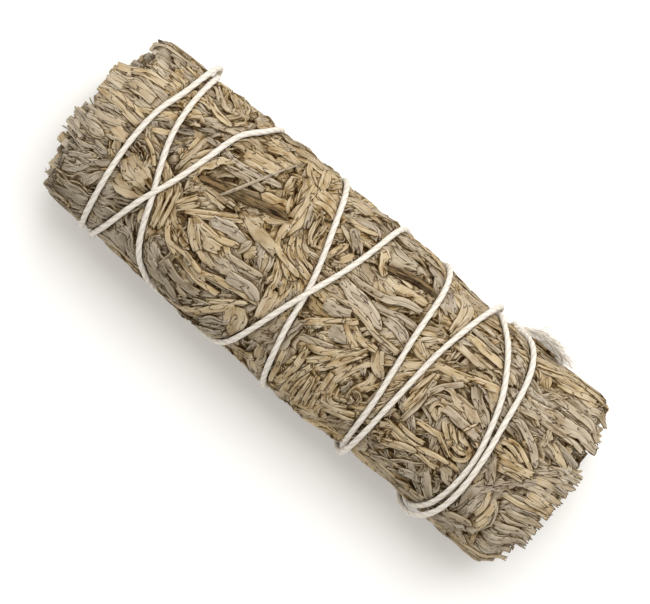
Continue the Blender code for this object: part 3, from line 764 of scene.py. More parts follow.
# %% Leaves on top
# Each: (mm along, degrees round, mm along, ...), width in mm, greyness, paleness
TOP_LEAVES = (
    ((-50, 33, -46, 38, -42, 40), 1.6, 0.1, 0.4), ((-50, 25, -46, 27, -42, 27), 2.2, 0.5, 0.3),
    ((-50, 17, -46, 16, -41, 15), 0.9, 0.1, 0.5), ((-50, 12, -45, 10, -41, 8), 1.2, 0.2, 0.0),
    ((-48, 68, -44, 72, -40, 74), 1.5, 0.6, 0.1), ((-50, -14, -48, -13, -45, -12), 1.8, 0.8, 0.1),
    ((-49, -3, -46, -2, -43, 2), 1.6, 0.5, 0.0), ((-44, -3, -42, -4, -41, -3), 2.0, 0.2, 0.2),
    ((-39, 5, -37, 2, -35, -5), 0.6, 0.2, 0.9), ((-39, -12, -37, -15, -34.5, -17), 4.4, 0.3, 0.0),
    ((-38.5, -28, -36, -27, -33.5, -25), 3.4, 0.3, 0.0),
    ((-42, 52, -38, 50, -34, 47), 1.2, 0.1, 0.2), ((-39, 12, -37, 16, -36, 20), 0.9, 0.1, 0.2),
    ((-36, 55, -33, 48, -30, 46), 1.2, 0.1, 0.3),
    ((-31.3, 30, -31.6, 15, -31.9, 3), 0.8, 0.6, 0.6),
    ((-32.3, 27, -32.4, 18, -32.4, 10), 0.7, 0.1, 0.3),
    ((-29.2, -8, -28.8, -20, -28, -33), 1.0, 0.1, 0.1), ((-30.5, -12, -29, -35), 1.2, 0.1, 0.0),
    ((-28.5, -16, -26.5, -3), 0.9, 0.1, 0.2), ((-27.8, -18, -25.6, -6), 0.9, 0.2, 0.2),
    ((-27.5, -26, -26, -35, -22.5, -42, -18, -43, -14, -42), 0.9, 0.1, 0.6),
    ((-25.6, -37, -22, -36, -18.5, -37), 0.8, 0.1, 0.5),
    ((-18.5, -38, -15, -34, -11, -31, -8, -30), 1.1, 0.1, 0.2),
    ((-24.5, 47, -22, 44, -19, 45), 1.2, 0.1, 0.2), ((-25, 40, -22, 41, -19, 42), 2.2, 0.2, 0.3),
    ((-23, 55, -21, 58, -17.5, 58), 2.0, 0.2, 0.1),
    ((-18.5, 63, -16, 64, -13.5, 64), 0.9, 0.1, 0.4), ((-18.5, 69, -13.5, 70), 1.3, 0.3, 0.1),
    ((-26, 30, -22, 32, -17.5, 36), 1.1, 0.9, 0.2), ((-26, 24, -22, 27, -19, 27), 1.1, 0.7, 0.0),
    ((-13.8, 29, -16, 27, -18, 25), 1.9, 0.1, 0.5),
    ((-18, 10, -15.5, 17, -13.3, 21), 2.6, 0.3, 0.2), ((-19.8, 7, -16, 5, -11, 3), 2.2, 0.3, 0.2),
    ((-26.5, -15, -23, -6, -19.5, 4), 1.1, 0.1, 0.4),
    ((-25, -14, -21.5, -5, -18.5, 3), 0.8, 0.1, 0.2), ((-26, 6, -21, 7), 0.9, 0.5, 0.2),
    ((-26, 2, -22, 2), 0.9, 0.3, 0.1), ((-22.5, -9, -19, -5, -16.3, -6), 2.2, 0.9, -0.2),
    ((-14.8, -12, -13.6, -6), 2.0, 0.3, 0.5), ((-15.8, -13, -15.2, -4), 1.3, 0.7, 0.1),
    ((-24.5, -14, -20, -14.5, -16.5, -10), 1.1, 0.1, 0.4),
    ((-17, -18, -13, -17, -10.5, -15), 1.0, 0.7, 0.3),
    ((-24.7, -15, -22.5, -24, -21, -28), 2.0, 0.2, 0.1), ((-21, -22, -18.5, -19), 2.0, 0.2, 0.1),
    ((-14.5, -28, -11, -26, -9, -27), 2.2, 0.9, 0.0),
    ((-19.5, -85, -16, -68, -13, -52, -11, -42), 1.4, 0.1, 0.2),
    ((-14.5, -50, -12, -42, -9.5, -35), 0.9, 0.1, 0.3),
    ((-24, -48, -21, -54, -18, -52, -16.5, -50), 1.8, 0.9, 0.0),
    ((-13.3, 73, -12.4, 62, -12, 52), 1.8, 0.1, 0.4),
    ((-12.8, 50, -12.5, 30, -12.2, 12), 1.5, 0.1, 0.3),
    ((-12, 49, -9.5, 50, -7.2, 46), 1.9, 0.1, 0.4), ((-11.5, 42, -9, 45, -6.3, 42), 0.9, 0.1, 0.2),
    ((-11.5, 40, -10.8, 33, -10, 26), 0.6, 0.9, 0.5), ((-10.6, 38, -9.7, 27), 0.6, 0.7, 0.3),
    ((-9.3, 38, -8.6, 26, -7.6, 20), 0.7, 0.2, 0.2), ((-7.7, 37, -7.5, 25, -7, 20), 0.9, 0.3, 0.0),
    ((-12.3, 12, -11.5, 6, -10, 3, -6, 0), 1.0, 0.1, 0.3),
    ((-10.5, 17, -9, 8, -6, 5, -4, 3), 1.1, 0.1, 0.2), ((-9.7, 20, -8, 12, -5, 9), 0.8, 0.1, 0.2),
    ((-9.8, -2, -8.8, -8, -9, -16), 0.9, 0.1, 0.2),
    ((-8.7, -4, -7.8, -12, -7.9, -18), 1.0, 0.1, 0.1), ((-7.2, -6, -6.2, -15), 1.0, 0.1, 0.1),
    ((-7.3, -17, -6.6, -27, -6.2, -36), 2.2, 0.2, 0.1),
    ((-5.3, 50, -3, 49, -0.5, 51), 0.9, 0.1, 0.3), ((-3.8, 46, -2.5, 42, -1, 36), 1.8, 0.9, -0.1),
    ((-4, 24, -3, 34), 1.2, 0.1, 0.1), ((-2.2, 24, -1, 32), 1.1, 0.1, 0.2),
    ((-11.5, 58, -10.5, 66, -9.8, 75), 1.2, 0.3, 0.1),
    ((-7, -68, -4.5, -67, -3, -60), 1.3, 0.5, 0.2),
    ((-10, -40, -9, -48, -8.5, -55), 3.8, 0.2, -0.1), ((2.2, 48, 3.4, 42, 4.4, 36), 1.8, 0.1, 0.5),
    ((5, 40, 7, 40.5, 9.3, 40), 0.6, 0.2, 1.0), ((5.5, 34, 8.5, 35, 12.5, 38), 1.6, 0.1, 0.2),
    ((4.6, 30, 6, 27, 8.3, 26), 2.6, 0.3, 0.1),
    ((0.8, 21, 4, 22, 7.5, 24, 10, 29, 13, 32), 1.3, 0.8, 0.4),
    ((6, 16, 9, 19, 11, 21, 14.3, 23), 1.5, 0.9, 0.5),
    ((9.5, 15, 12, 15, 14.5, 12), 2.0, 0.9, 0.3),
    ((0.3, 16, 3, 13.5, 6, 12.5, 9, 9), 2.5, 0.95, 1.8),
    ((0, 5, 4, 7, 7, 6, 10, 3, 14.6, 4), 1.0, 0.5, 0.5),
    ((0.2, -2, 2.5, -1, 4.6, 2), 2.4, 0.9, 0.3), ((-0.3, -19, 3, -9, 6.3, 2), 1.2, 0.1, 0.3),
    ((1.5, -12, 4.5, -3), 0.7, 0.1, 0.1), ((5, -5, 7, -8, 9, -12), 1.3, 0.1, 0.2),
    ((6, -2, 8.5, -5, 11.5, -4), 1.3, 0.1, 0.1), ((3.5, -12, 6, -12), 3.0, 0.9, -0.1),
    ((0.5, -29, 4, -23, 8, -19), 1.2, 0.7, 0.1), ((2.5, -29, 6, -24, 9.5, -11), 1.3, 0.1, 0.2),
    ((6, -38, 8, -25, 10.5, -9), 1.5, 0.1, 0.3), ((4, -37, 6.5, -27), 1.1, 0.1, 0.0),
    ((2.3, -72, 3.2, -50, 3, -32), 1.4, 0.1, 0.1), ((4.2, -75, 4.3, -55, 5.2, -38), 1.1, 0.1, 0.0),
    ((5.8, -75, 5.5, -55, 6, -42), 0.9, 0.1, 0.2), ((7, -72, 6.8, -52, 6.5, -42), 0.9, 0.1, 0.0),
    ((8.2, -68, 7.8, -52, 7.2, -40), 0.9, 0.2, 0.2),
    ((9.3, -62, 8.8, -48, 8.5, -33), 0.9, 0.1, 0.1), ((12, -3, 13, -10, 14.5, -14), 2.2, 0.3, 0.1),
    ((10, -36, 10.3, -44, 11.5, -48, 13.7, -45), 0.7, 0.1, 0.4),
    ((10.8, -38, 11.4, -44, 13, -42), 0.7, 0.1, 0.2),
    ((10, -52, 12.5, -51, 15.5, -46), 1.0, 0.1, 0.3),
    ((10.5, -58, 13, -54, 16, -50), 0.9, 0.2, 0.1), ((0.3, -42, 1, -55, 1.6, -72), 0.9, 0.1, 0.1),
    ((15.2, 60, 17.3, 60, 18.4, 52, 18.8, 36), 1.0, 0.4, 0.4),
    ((16.5, 64, 18.8, 61, 19.6, 50, 19.6, 34), 1.1, 0.4, 0.3),
    ((15.3, 17, 17, 14, 18.8, 13), 2.0, 0.2, 0.2), ((15.5, -6, 17, 1, 18.8, 8), 1.4, 0.1, 0.1),
    ((15.8, -16, 17.5, -6, 18.8, 0), 1.3, 0.1, 0.0), ((16.5, -20, 18, -10), 1.1, 0.1, 0.1),
    ((20.3, 14, 23, 16, 26.5, 21, 31, 27), 1.5, 0.1, 0.4),
    ((20.7, -20, 21, -8, 21.4, 7), 0.9, 0.1, 0.2), ((21.2, -22, 21.7, -8, 21.8, 9), 0.8, 0.1, 0.3),
    ((21.9, -28, 22.3, -12, 22, 5), 1.0, 0.7, 0.3),
    ((20.3, -12, 20.6, -2, 21.2, 8), 0.7, 0.1, 0.1),
    ((22.4, -5, 23.5, 5, 25.8, 15), 1.0, 0.8, 0.4), ((20.3, 32, 23, 32, 26.5, 32), 1.1, 0.5, 0.5),
    ((21, 41, 24, 42, 28.8, 41), 1.6, 0.1, 0.3), ((20.8, 48, 24, 48, 27, 47), 0.9, 0.8, 0.2),
    ((21, 55, 27, 56), 0.9, 0.7, 0.1), ((21, 64, 27, 63), 1.1, 0.2, 0.1),
    ((24.8, -8, 25.8, -12), 1.8, 0.2, 0.1),
    ((20.2, -35, 23.5, -36, 27, -35, 30, -31, 34, -29), 0.8, 0.1, 0.4),
    ((22, -39, 26, -39, 31, -37), 0.8, 0.1, 0.3), ((22, -32, 27, -31), 0.8, 0.1, 0.2),
    ((21.5, -47, 24, -43, 26.5, -38), 1.4, 0.1, 0.1),
    ((24, -22, 26.5, -21, 30, -19, 33, -18), 1.0, 0.1, 0.3),
    ((27.6, 19, 29.5, 13, 33, 4), 2.0, 0.9, 0.3), ((26, 6, 29, 5, 31.3, 2), 1.9, 0.5, 0.3),
    ((26, -4, 29, -4.5, 33, -5.5), 1.7, 0.9, 0.8), ((31.6, 1, 31.1, -3, 30.7, -7), 0.3, 0.5, 1.6),
    ((27.3, -11, 28, -14, 29.5, -18), 0.8, 0.1, 0.1),
    ((28.6, -10, 29.5, -13, 31, -17), 0.8, 0.1, 0.2),
    ((30.3, -9, 31.2, -12, 32.5, -13), 0.9, 0.1, 0.1),
    ((33, -12, 33.6, -16, 32.5, -20, 31, -19), 0.6, 0.1, 0.3),
    ((33.8, -16, 34, -21, 32.5, -25, 31, -24), 0.6, 0.1, 0.3),
    ((28, -20, 30, -24, 31.5, -26), 0.8, 0.1, 0.1), ((36, 33, 41, 35, 49, 41), 2.4, 0.8, 0.4),
    ((35.5, 26, 40, 29, 47.5, 32), 0.9, 0.7, 0.1), ((35.5, 46, 41, 47, 48.5, 48), 1.3, 0.7, 0.1),
    ((37.5, 58, 41, 60, 44, 66), 1.3, 0.2, 0.2), ((44, 56, 47.5, 63), 1.6, 0.7, 0.0),
    ((35.5, 20, 38, 18, 41, 12, 43, 5), 1.3, 0.9, 0.2),
    ((43, 22, 45.5, 18, 47.3, 16), 1.2, 0.2, 0.2), ((44, 25, 47, 23, 47.7, 17), 0.7, 0.4, 0.6),
    ((44, 4, 47, 12, 50, 16), 1.5, 0.7, 0.2), ((44.5, 1, 47, 5, 50, 10), 1.3, 0.6, 0.1),
    ((44.5, -2, 47, 1, 50, 3), 1.2, 0.2, 0.1), ((45, -6, 50, -5), 1.3, 0.5, 0.1),
    ((36, 4, 38, 7.5, 40, 6, 43, 1), 0.7, 0.1, 0.3), ((36, 1.5, 38, 4, 41, 1), 0.7, 0.1, 0.1),
    ((35.8, -1.5, 38, -1, 41.5, -1.5), 1.0, 0.1, 0.2),
    ((37, -6, 39.5, -5, 43.5, -1.5), 1.5, 0.1, 0.3),
    ((38.5, -12, 40.5, -9, 43, -7), 1.2, 0.4, 0.0),
    ((36.2, -7, 37.6, -13, 39.3, -22), 1.9, 0.95, 0.3),
    ((45.3, -12, 47, -11, 49.8, -11.5), 1.6, 0.1, 0.4),
    ((42, -22, 45, -20, 50, -17.5), 0.9, 0.1, 0.5), ((45, -15.5, 50, -15), 0.8, 0.3, 0.2),
    ((43.5, -33, 47, -33, 50, -31), 1.0, 0.8, 0.2), ((44, -28, 50, -26), 1.2, 0.6, 0.1),
    ((44, -40, 47, -37, 49.8, -38), 1.5, 0.8, 0.2), ((44.5, -50, 47, -47, 50, -43), 1.6, 0.8, 0.2),
    ((40.3, -25, 41, -35, 40.8, -42), 0.9, 0.1, 0.1),
    ((42, -27, 42.3, -38, 41.8, -48), 1.0, 0.1, 0.4),
    ((43, -40, 42.6, -52, 43.3, -62), 0.8, 0.1, 0.2),
    ((22.8, -71, 24.5, -73, 27, -71), 2.2, 0.3, -1.4),
    ((35, -75, 41, -73, 45, -70, 49, -65), 1.5, 0.1, 0.3), ((44, -58, 48.8, -55), 1.4, 0.7, 0.1),
    ((36, -58, 39, -52, 41, -50), 1.3, 0.7, 0.1), ((40, -62, 42.5, -68), 1.2, 0.7, 0.0),
    ((33, 80, 40, 82, 44, 83), 1.1, 0.7, 0.1), ((35, 72, 40, 73, 46, 72), 1.2, 0.2, 0.2),
)
for flat_places, width, tone, shade in TOP_LEAVES:
    line = curve_through(np.reshape(flat_places, (-1, 2)), 24)
    line[:, 1] = np.radians(line[:, 1]) * ROUND_RADIUS
    far = running_length(np.hypot(*np.diff(line, axis=0).T))
    even = np.linspace(0, far[-1], max(int(far[-1] / 0.7) + 1, 5))
    line = np.stack([np.interp(even, far, axis) for axis in line.T])
    share = even / far[-1]
    fuller = 0.38 if width < 2.4 else 0.6
    half = width / 2 * (1 - fuller + fuller * np.sin(math.pi * (0.08 + 0.84 * share)) ** 0.7)
    half *= 1 + 0.05 * np.sin(share * 13 + width * 9)
    shape = ROUND_TIP if width > 2.4 else (ROUND_TIP, BLUNT, TORN)[chance.integers(3)]
    lay_leaf(*line, half, shape, tone, shade,
             thick=0.13, keel=chance.choice((-0.06, 0.03, 0.12)), pleat=0.02,
             pleats=width * 0.5, lifted=0.08, sunk=0.12, ragged=0.05)
print("leaves on top:", len(TOP_LEAVES))

# %% [markdown]
# ## Pressing the pile to the bundle's surface
#
# The pile grew thicker in some places than in others. Subtracting a softened copy of the final
# heights brings it back to the pressed shape but keeps every fold. Then the leaves are pressed
# down under the string and the twigs, and flat where the bundle rests.

# %% Pressing
TWIGS = {
    "twig_long": (1.0, ((-31.6, 5, -2.5), (-29.3, 7.5, -2.3), (-26.2, 10.5, -0.9),
                        (-20.0, 17, -0.4), (-13.2, 24, -0.8))),
    "twig_short": (0.85, ((4.6, 41, -0.5), (9.2, 46, -0.3), (12.4, 49, -0.9),
                          (14.6, 51.5, -1.8), (17.5, 55, -2.2))),
}
EVENED_OUT = 2.2  # mm over which the pile's own swellings are taken away
unrolled = heights.reshape(CELLS_X, CELLS_V)
pile = blurred(unrolled, EVENED_OUT).ravel()
# The highest leaf within a short way, which throws its shade on what lies beside it
over = unrolled
for turns_x, turns_v in ((-1, 0), (1, 0), (0, -1), (0, 1), (-2, 0), (2, 0), (0, -2), (0, 2)):
    over = np.maximum(over, np.roll(unrolled, (turns_x, turns_v), (0, 1)))
over = over.ravel()

pressers = [(x, (a * ROUND_RADIUS) % ROUND, STRING_RADIUS) for x, a in zip(string_x, string_angle)]
for radius, places in TWIGS.values():
    for x, degrees, lift in curve_through(places, 6):
        if lift > -1.5:
            pressers.append((x, (math.radians(degrees) * ROUND_RADIUS) % ROUND, radius))
tree = KDTree(3 * len(pressers))
for turn in (-1, 0, 1):
    for k, (x, v, radius) in enumerate(pressers):
        tree.insert((x, v + turn * ROUND, 0), k)
tree.balance()


PEAK = 0.75  # mm above the surface, from where a leaf is pressed down more


def pressed(x, v, height):
    """How far points of a leaf end up above the bundle's mean surface."""
    lift = height - pile[cells(x, v)] + 0.1
    lift = np.where(lift > PEAK, PEAK + (lift - PEAK) * 0.4, lift)
    flat_x, flat_v = x.ravel(), (v % ROUND).ravel()
    room = np.empty(len(flat_x))
    for k, point in enumerate(zip(flat_x, flat_v)):
        _, which, far = tree.find((*point, 0))
        radius = pressers[which][2]
        room[k] = 0.2 - radius + max(far - 0.55 * radius, 0) * 1.1
    room = room.reshape(x.shape)
    lift = np.minimum(lift, room + 0.15 * np.tanh(lift))
    below = rested(v / ROUND_RADIUS)
    return lift * (1 - below) + below * np.minimum(0.25 * lift - 0.12, -0.01)


print("pressed down along", len(pressers), "places of string and twig")

# %% [markdown]
# ## Putting the leaves on their stems
#
# The bundle has eight leafy stems, and each is one piece of the model, so that it can be handled
# apart from the others. A leaf belongs to the stem whose sector its middle lies in. Leaves that
# were buried by later ones cost faces and are never seen, so they are left out.

# %% Sorting the leaves
STEM_COUNT = 8


def seam(number, x):
    """The angle where one leafy stem's leaves meet the next one's."""
    return (2 * math.pi * (number - 0.5) / STEM_COUNT + math.radians(9) * x / (2 * HALF_LENGTH)
            + math.radians(2.6) * np.sin(x / 9 + 2.1 * (number % STEM_COUNT)))


class Piece:
    """Gathers sheets of points, which are grids of rows and columns, into one mesh."""

    def __init__(self, name):
        self.name, self.size = name, 0
        self.points, self.faces, self.marks, self.grain = [], [], [], []

    def add_sheet(self, points, marks, grain, closed=False):
        """Adds a grid of points. A closed one goes on from its last column to its first."""
        rows, columns = points.shape[:2]
        index = self.size + np.arange(rows * columns).reshape(rows, columns)
        if closed:
            index = np.hstack((index, index[:, :1]))
        corners = (index[:-1, :-1], index[1:, :-1], index[1:, 1:], index[:-1, 1:])
        self.faces.append(np.stack(corners, -1).reshape(-1, 4))
        self.size += rows * columns
        self.points.append(points.reshape(-1, 3))
        self.marks.append(np.broadcast_to(marks, (rows, columns, 4)).reshape(-1, 4))
        self.grain.append(np.broadcast_to(grain, (rows, columns, 3)).reshape(-1, 3))

    def finish(self, material, slot, node):
        """Makes the mesh, which replaces this node of the frame."""
        mesh = bpy.data.meshes.new(self.name)
        mesh.from_pydata(np.vstack(self.points) * MM, [], np.vstack(self.faces))
        marks = mesh.attributes.new("marks", "FLOAT_COLOR", "POINT")
        marks.data.foreach_set("color", np.vstack(self.marks).astype(np.float32).ravel())
        grain = mesh.attributes.new("grain", "FLOAT_VECTOR", "POINT")
        grain.data.foreach_set("vector", np.vstack(self.grain).astype(np.float32).ravel())
        mesh.shade_smooth()
        mesh.materials.append(material)
        piece = bpy.data.objects.new(self.name, mesh)
        bpy.context.scene.collection.objects.link(piece)
        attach(piece, "root")
        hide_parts(node)
        print(self.name, "triangles:", 2 * len(mesh.polygons))


sprigs = [Piece(f"sprig_{number + 1}") for number in range(STEM_COUNT)]


def sprig_at(x, angle):
    """The sprig whose sector holds this place."""
    starts = [seam(number, x) for number in range(STEM_COUNT)]
    offs = [(angle - start) % (2 * math.pi) for start in starts]
    return sprigs[int(np.argmin(offs))]


print("places where one leafy stem's leaves meet the next one's:", STEM_COUNT)

# %% [markdown]
# ### Turning leaves into faces
#
# Each leaf that is still seen goes to its stem, as a sheet of faces. Its marks say how grey, how
# pale and how near its edge each point is, which gives a painted highlight on the rim, and how
# deep it lies under the leaves beside it, which gives painted shade.

# %% Leaf faces
SEEN_SHARE = 0.08  # of a leaf's points, at least, for the leaf to stay
kept = 0
for grid_x, grid_v, height, half, tone, shade in leaves:
    all_cells = cells(grid_x, grid_v)
    if (height > heights[all_cells] - 0.04)[:-2, 2:-2].mean() < SEEN_SHARE:
        continue
    kept += 1
    rows, columns = grid_x.shape
    middle = rows // 2, columns // 2
    home = sprig_at(grid_x[middle], grid_v[middle] / ROUND_RADIUS)
    lift = pressed(grid_x, grid_v, height)
    angle = grid_v / ROUND_RADIUS
    points = place(grid_x, angle, rim(grid_x, angle) + lift)
    # Painted shade: darker under a higher leaf close by and below the mean surface, more on the
    # lip, most on the hem
    painted_shade = np.clip((over[all_cells] - height - 0.03) / 0.28, 0, 1)
    painted_shade = np.maximum(painted_shade, np.clip((0.05 - lift) / 0.9, 0, 1) * 0.75)
    painted_shade[:, [1, -2]] = painted_shade[-2] = 0.6
    painted_shade[:, [0, -1]] = painted_shade[-1] = chance.uniform(0.9, 1)
    spread = np.linspace(-1, 1, columns - 4)
    edge = np.ones_like(height)
    edge[:-2, 2:-2] = np.abs(spread) ** 3
    marks = np.stack((np.full_like(height, tone), np.full_like(height, 0.5 + 0.25 * shade),
                      edge, painted_shade), -1)
    midrib = grid_x[:, columns // 2], grid_v[:, columns // 2]
    along = running_length(np.hypot(*np.diff(midrib)))
    wide = np.append(half, half[[-1, -1]])[:, None] * np.pad(
        spread, 2, constant_values=((-1.15, 1.15),))
    grain = np.stack((np.broadcast_to(along[:, None], height.shape), wide,
                      np.full_like(height, 7.3 * kept % 97)), -1)
    home.add_sheet(points, marks, grain)
print("leaves kept:", kept, "of", len(leaves))

# %% [markdown]
# ## The dark inside
#
# Between the leaves one looks into brown shadow. A crumpled surface a little under the leaves
# stands for the crushed inner ones, so that no gap shows through to the other side, and it is
# painted dim and brown as painted shadow. Each sprig gets its own sector of it, closed at both
# ends.

# %% Inner leaves
INNER_SINK = 0.5  # mm that it lies under the leaves
INNER_END, CAP_RINGS = 43.0, 12
CAP_BEHIND = 1.9  # mm from the leaf tips to the middle of a closed end
inner_rough = 0.12 * noise_map(0.5, 5).ravel()
for number, sprig in enumerate(sprigs):
    x = np.linspace(-INNER_END, INNER_END, 150)[:, None]
    share = np.linspace(0, 1, 25)[None, :]
    angle = seam(number, x) * (1 - share) + seam(number + 1, x) * share
    x = x + 0 * angle
    v = angle * ROUND_RADIUS
    lift = pressed(x, v, pile[cells(x, v)] + inner_rough[cells(x, v)] - 0.1) - INNER_SINK
    radius = rim(x, angle) + lift
    radius = np.where(rested(angle) > 0, np.minimum(radius, rim(x, angle) - 0.3), radius)
    steps = np.linspace(0.02, 0.94, CAP_RINGS)[:, None]
    caps = []
    for way, ring in ((-1, 0), (1, -1)):
        out, around = radius[ring] * steps, angle[ring] + 0 * steps
        side, up = out * np.sin(around), out * np.cos(around)
        reach = end_reach(side, way) - CAP_BEHIND - 1.8 * steps**6
        reach += 0.35 * np.sin(3.1 * side + 2) * np.sin(2.7 * up)
        caps.append(place(way * reach, around, out))
    points = np.vstack((caps[0], place(x, angle, radius), caps[1][::-1]))
    # Painted shade: the inner surface is dimmed and shaded dark brown, its end caps a little less
    marks = np.full((*points.shape[:2], 4), (0.3, 0.35, 0, 0.7))
    marks[:CAP_RINGS, :, 1] = marks[-CAP_RINGS:, :, 1] = 0.4
    marks[:CAP_RINGS, :, 3] = marks[-CAP_RINGS:, :, 3] = 0.45
    grain = np.stack((points[..., 0], v[0] + 0 * points[..., 0], 0 * points[..., 0] + 3), -1)
    sprig.add_sheet(points, marks, grain)
print("inner surface ends at", INNER_END)

# %% [markdown]
# ## Tubes
#
# String, stems and twigs are all long round things, so one function makes them. It carries a
# frame of two directions along the line, square to it, and turns it as little as it can from one
# point to the next, which keeps the tube from twisting where the line bends.

# %% Tube frame
def frame_along(line, up):
    """Unit vectors along a line, and two square to it that don't twist."""
    ahead = np.gradient(line, axis=0)
    ahead /= np.linalg.norm(ahead, axis=1, keepdims=True)
    side = np.empty_like(line)
    last = np.asarray(up, float)
    for k, way in enumerate(ahead):
        last = last - way * (last @ way)
        last /= np.linalg.norm(last)
        side[k] = last
    return ahead, side, np.cross(ahead, side)


def tube(line, radius, sides, up=(0, 0, 1)):
    """Rings of points along a line. The radius may be given for each row and column."""
    _, side, other = frame_along(line, up)
    turn = np.linspace(0, 2 * math.pi, sides, endpoint=False)
    ring = side[:, None] * np.cos(turn)[:, None] + other[:, None] * np.sin(turn)[:, None]
    return line[:, None] + ring * np.broadcast_to(radius, (len(line), sides))[..., None], turn


def tube_grain(line, turn, roundness, mark):
    """Grain for a tube: the way along it, and the way round it without a seam."""
    along = length_along(line)[:, None]
    return np.stack((along + 0 * turn, roundness * np.cos(turn) + 0 * along,
                     roundness * np.sin(turn) + mark + 0 * along), -1)


print("a tube of 10 rings and 12 sides has", 10 * 12, "points")

# %% [markdown]
# ## Both ends
#
# Seen from the end, a bundle shows the edges of hundreds of leaves packed side by side, each a
# thin curled strip. From the side their tips make the ragged outline. Strips are placed over the
# end's disc by the sunflower rule, which spreads any number of them evenly, and each is turned at
# random about its own length.

# %% One end strip
STRIP_ROOT, DISC_AT, LONGEST = 39.5, 45.5, 49.4  # mm along
STRIP_ROWS, STRIP_COLUMNS = 11, 5
strip_share = np.append(np.linspace(0, 1, STRIP_ROWS - 2), (1, 1))[:, None]
strip_across = np.linspace(-1, 1, STRIP_COLUMNS)[None, :]
STRIP_TIP = np.append(np.zeros(STRIP_ROWS - 2), (0.45, 1.0))[:, None]
FRAYED = np.array((-0.5, 0.1, -0.1, 0.15, -0.3))


def strip_form(way, part, angle):
    """A strip's points: mm towards its end, y and z. It starts at this place on the end's disc."""
    share, across = strip_share, strip_across
    radius = float(rim(np.float64(way * DISC_AT), np.float64(angle))) * (0.04 + 0.93 * part)
    y0, z0 = radius * math.sin(angle), AXIS_HEIGHT + radius * math.cos(angle)
    width = chance.uniform(0.9, 2.3)
    outline = end_reach(y0, way)
    tip = min(outline + chance.uniform(-2.4, -0.3), LONGEST)
    over_tip = chance.uniform(0.2, 1.5) * (1 - part**4)  # how far the tip is bent, in radians
    bent = STRIP_TIP * chance.uniform(0.6, 2.3 if way < 0 else 1.2)
    x = STRIP_ROOT + (tip - STRIP_ROOT) * share + bent * math.cos(over_tip) + 0 * across
    bent = bent * math.sin(over_tip)
    x[-1] += FRAYED * width * 0.2
    turn = angle + math.pi / 2 + chance.normal(0, 0.7) + chance.normal(0, 0.35) * share
    curl = chance.uniform(0.1, 1.1) * chance.choice((-1, 1))
    half = width / 2 * (0.75 + 0.25 * np.sin(share * 2.6))
    side, bow = across * half, curl * (across**2 - 0.5) * half * 0.6 - bent * np.sign(curl)
    drift, sway = chance.normal(0, 0.45, 2), chance.normal(0, 0.35, 2)
    y = (y0 + drift[0] * share**2 + sway[0] * np.sin(share * 4)
         - side * np.cos(turn) + bow * np.sin(turn))
    z = (z0 + drift[1] * share**2 + sway[1] * np.sin(share * 5)
         + side * np.sin(turn) + bow * np.cos(turn))
    return x, y, z, side, outline


print("faces of a strip:", (STRIP_ROWS - 1) * (STRIP_COLUMNS - 1))

# %% [markdown]
# ### Packing the strips
#
# A strip that would stand out beyond the bundle's side is pressed back, as the string does it. The
# inner ones are painted darker towards their roots, as painted shade deep in the end. The outer
# ones look like the leaves beside them.

# %% End strips
END_STRIPS = 600
GOLDEN = math.pi * (3 - math.sqrt(5))


def add_end_strip(way, number):
    """Adds one strip to the sprig whose sector holds it."""
    part, angle = math.sqrt((number + 0.5) / END_STRIPS), number * GOLDEN
    x, y, z, side, outline = strip_form(way, part, angle)
    off, around = np.hypot(y, z - AXIS_HEIGHT), np.arctan2(y, z - AXIS_HEIGHT)
    limit = rim(way * x, around) + 0.1
    off = np.where(off > limit, limit + (off - limit) * 0.25, off)
    points = place(way * x, around, off)
    points[..., 2] = np.maximum(points[..., 2], 0.15)
    spot = way * 45, angle % (2 * math.pi) * ROUND_RADIUS
    outer = np.interp(part, (0.8, 0.95), (0, 1))
    tone = 0.25 + outer * (tone_at(*spot) - 0.25) + chance.normal(0, 0.2)
    shade = 0.68 + outer * (0.2 * shade_at(*spot) - 0.16) + chance.normal(0, 0.1)
    # Painted shade, darker towards the roots of the inner strips deep in the end
    root_shade = np.clip((outline - 2.2 - x) / 4.5, 0, 0.8) * np.clip(1.6 - part, 0.6, 1)
    marks = np.stack((np.full_like(x, tone), np.full_like(x, shade),
                      np.abs(strip_across) ** 3 + 0 * x, root_shade), -1)
    grain = np.stack((x, side + 0 * x, np.full_like(x, number % 89 + 100)), -1)
    sprig_at(way * DISC_AT, angle).add_sheet(points, marks, grain)


for way in (-1, 1):
    for number in range(END_STRIPS):
        add_end_strip(way, number)
print("strips on each end:", END_STRIPS)

# %% [markdown]
# ## A loose straw
#
# One thin dry stalk lies across the long twig, over everything else. It is a slim tube, and goes
# with the sprig that it lies on.

# %% Straw
STRAW = (
    (-23.8, 7.5, 0.55), (-22.3, 17, 0.85), (-20.2, 32, 0.8), (-18.4, 45, 0.7), (-16.6, 58, 0.45),
)
line = curve_through(STRAW, 10)
x, angle = line[:, 0], np.radians(line[:, 1])
line = place(x, angle, rim(x, angle) + line[:, 2])
thick = np.interp(x, (-23.8, -23, -16.6), (0.16, 0.29, 0.14))[:, None]
points, turn = tube(line, thick, 8)
grain = tube_grain(line, turn, 0.6, 55)
sprig_at(-20, math.radians(33)).add_sheet(points, (0.7, 0.7, 0, 0), grain, closed=True)
print("straw points:", points.size // 3)

# %% [markdown]
# ## Shader parts that several materials share
#
# Dry leaves, bark and cotton all have fibres that run lengthwise, painted brown shade in their
# hollows, and a pale powder in patches. Each of these is a node group with its own sliders, built
# once and placed in each material with other values. Each mesh carries two attributes for them:
# marks, with tone, shade (how pale), edge and cover (how much painted shade), and grain, with the
# place along and across the fibre.

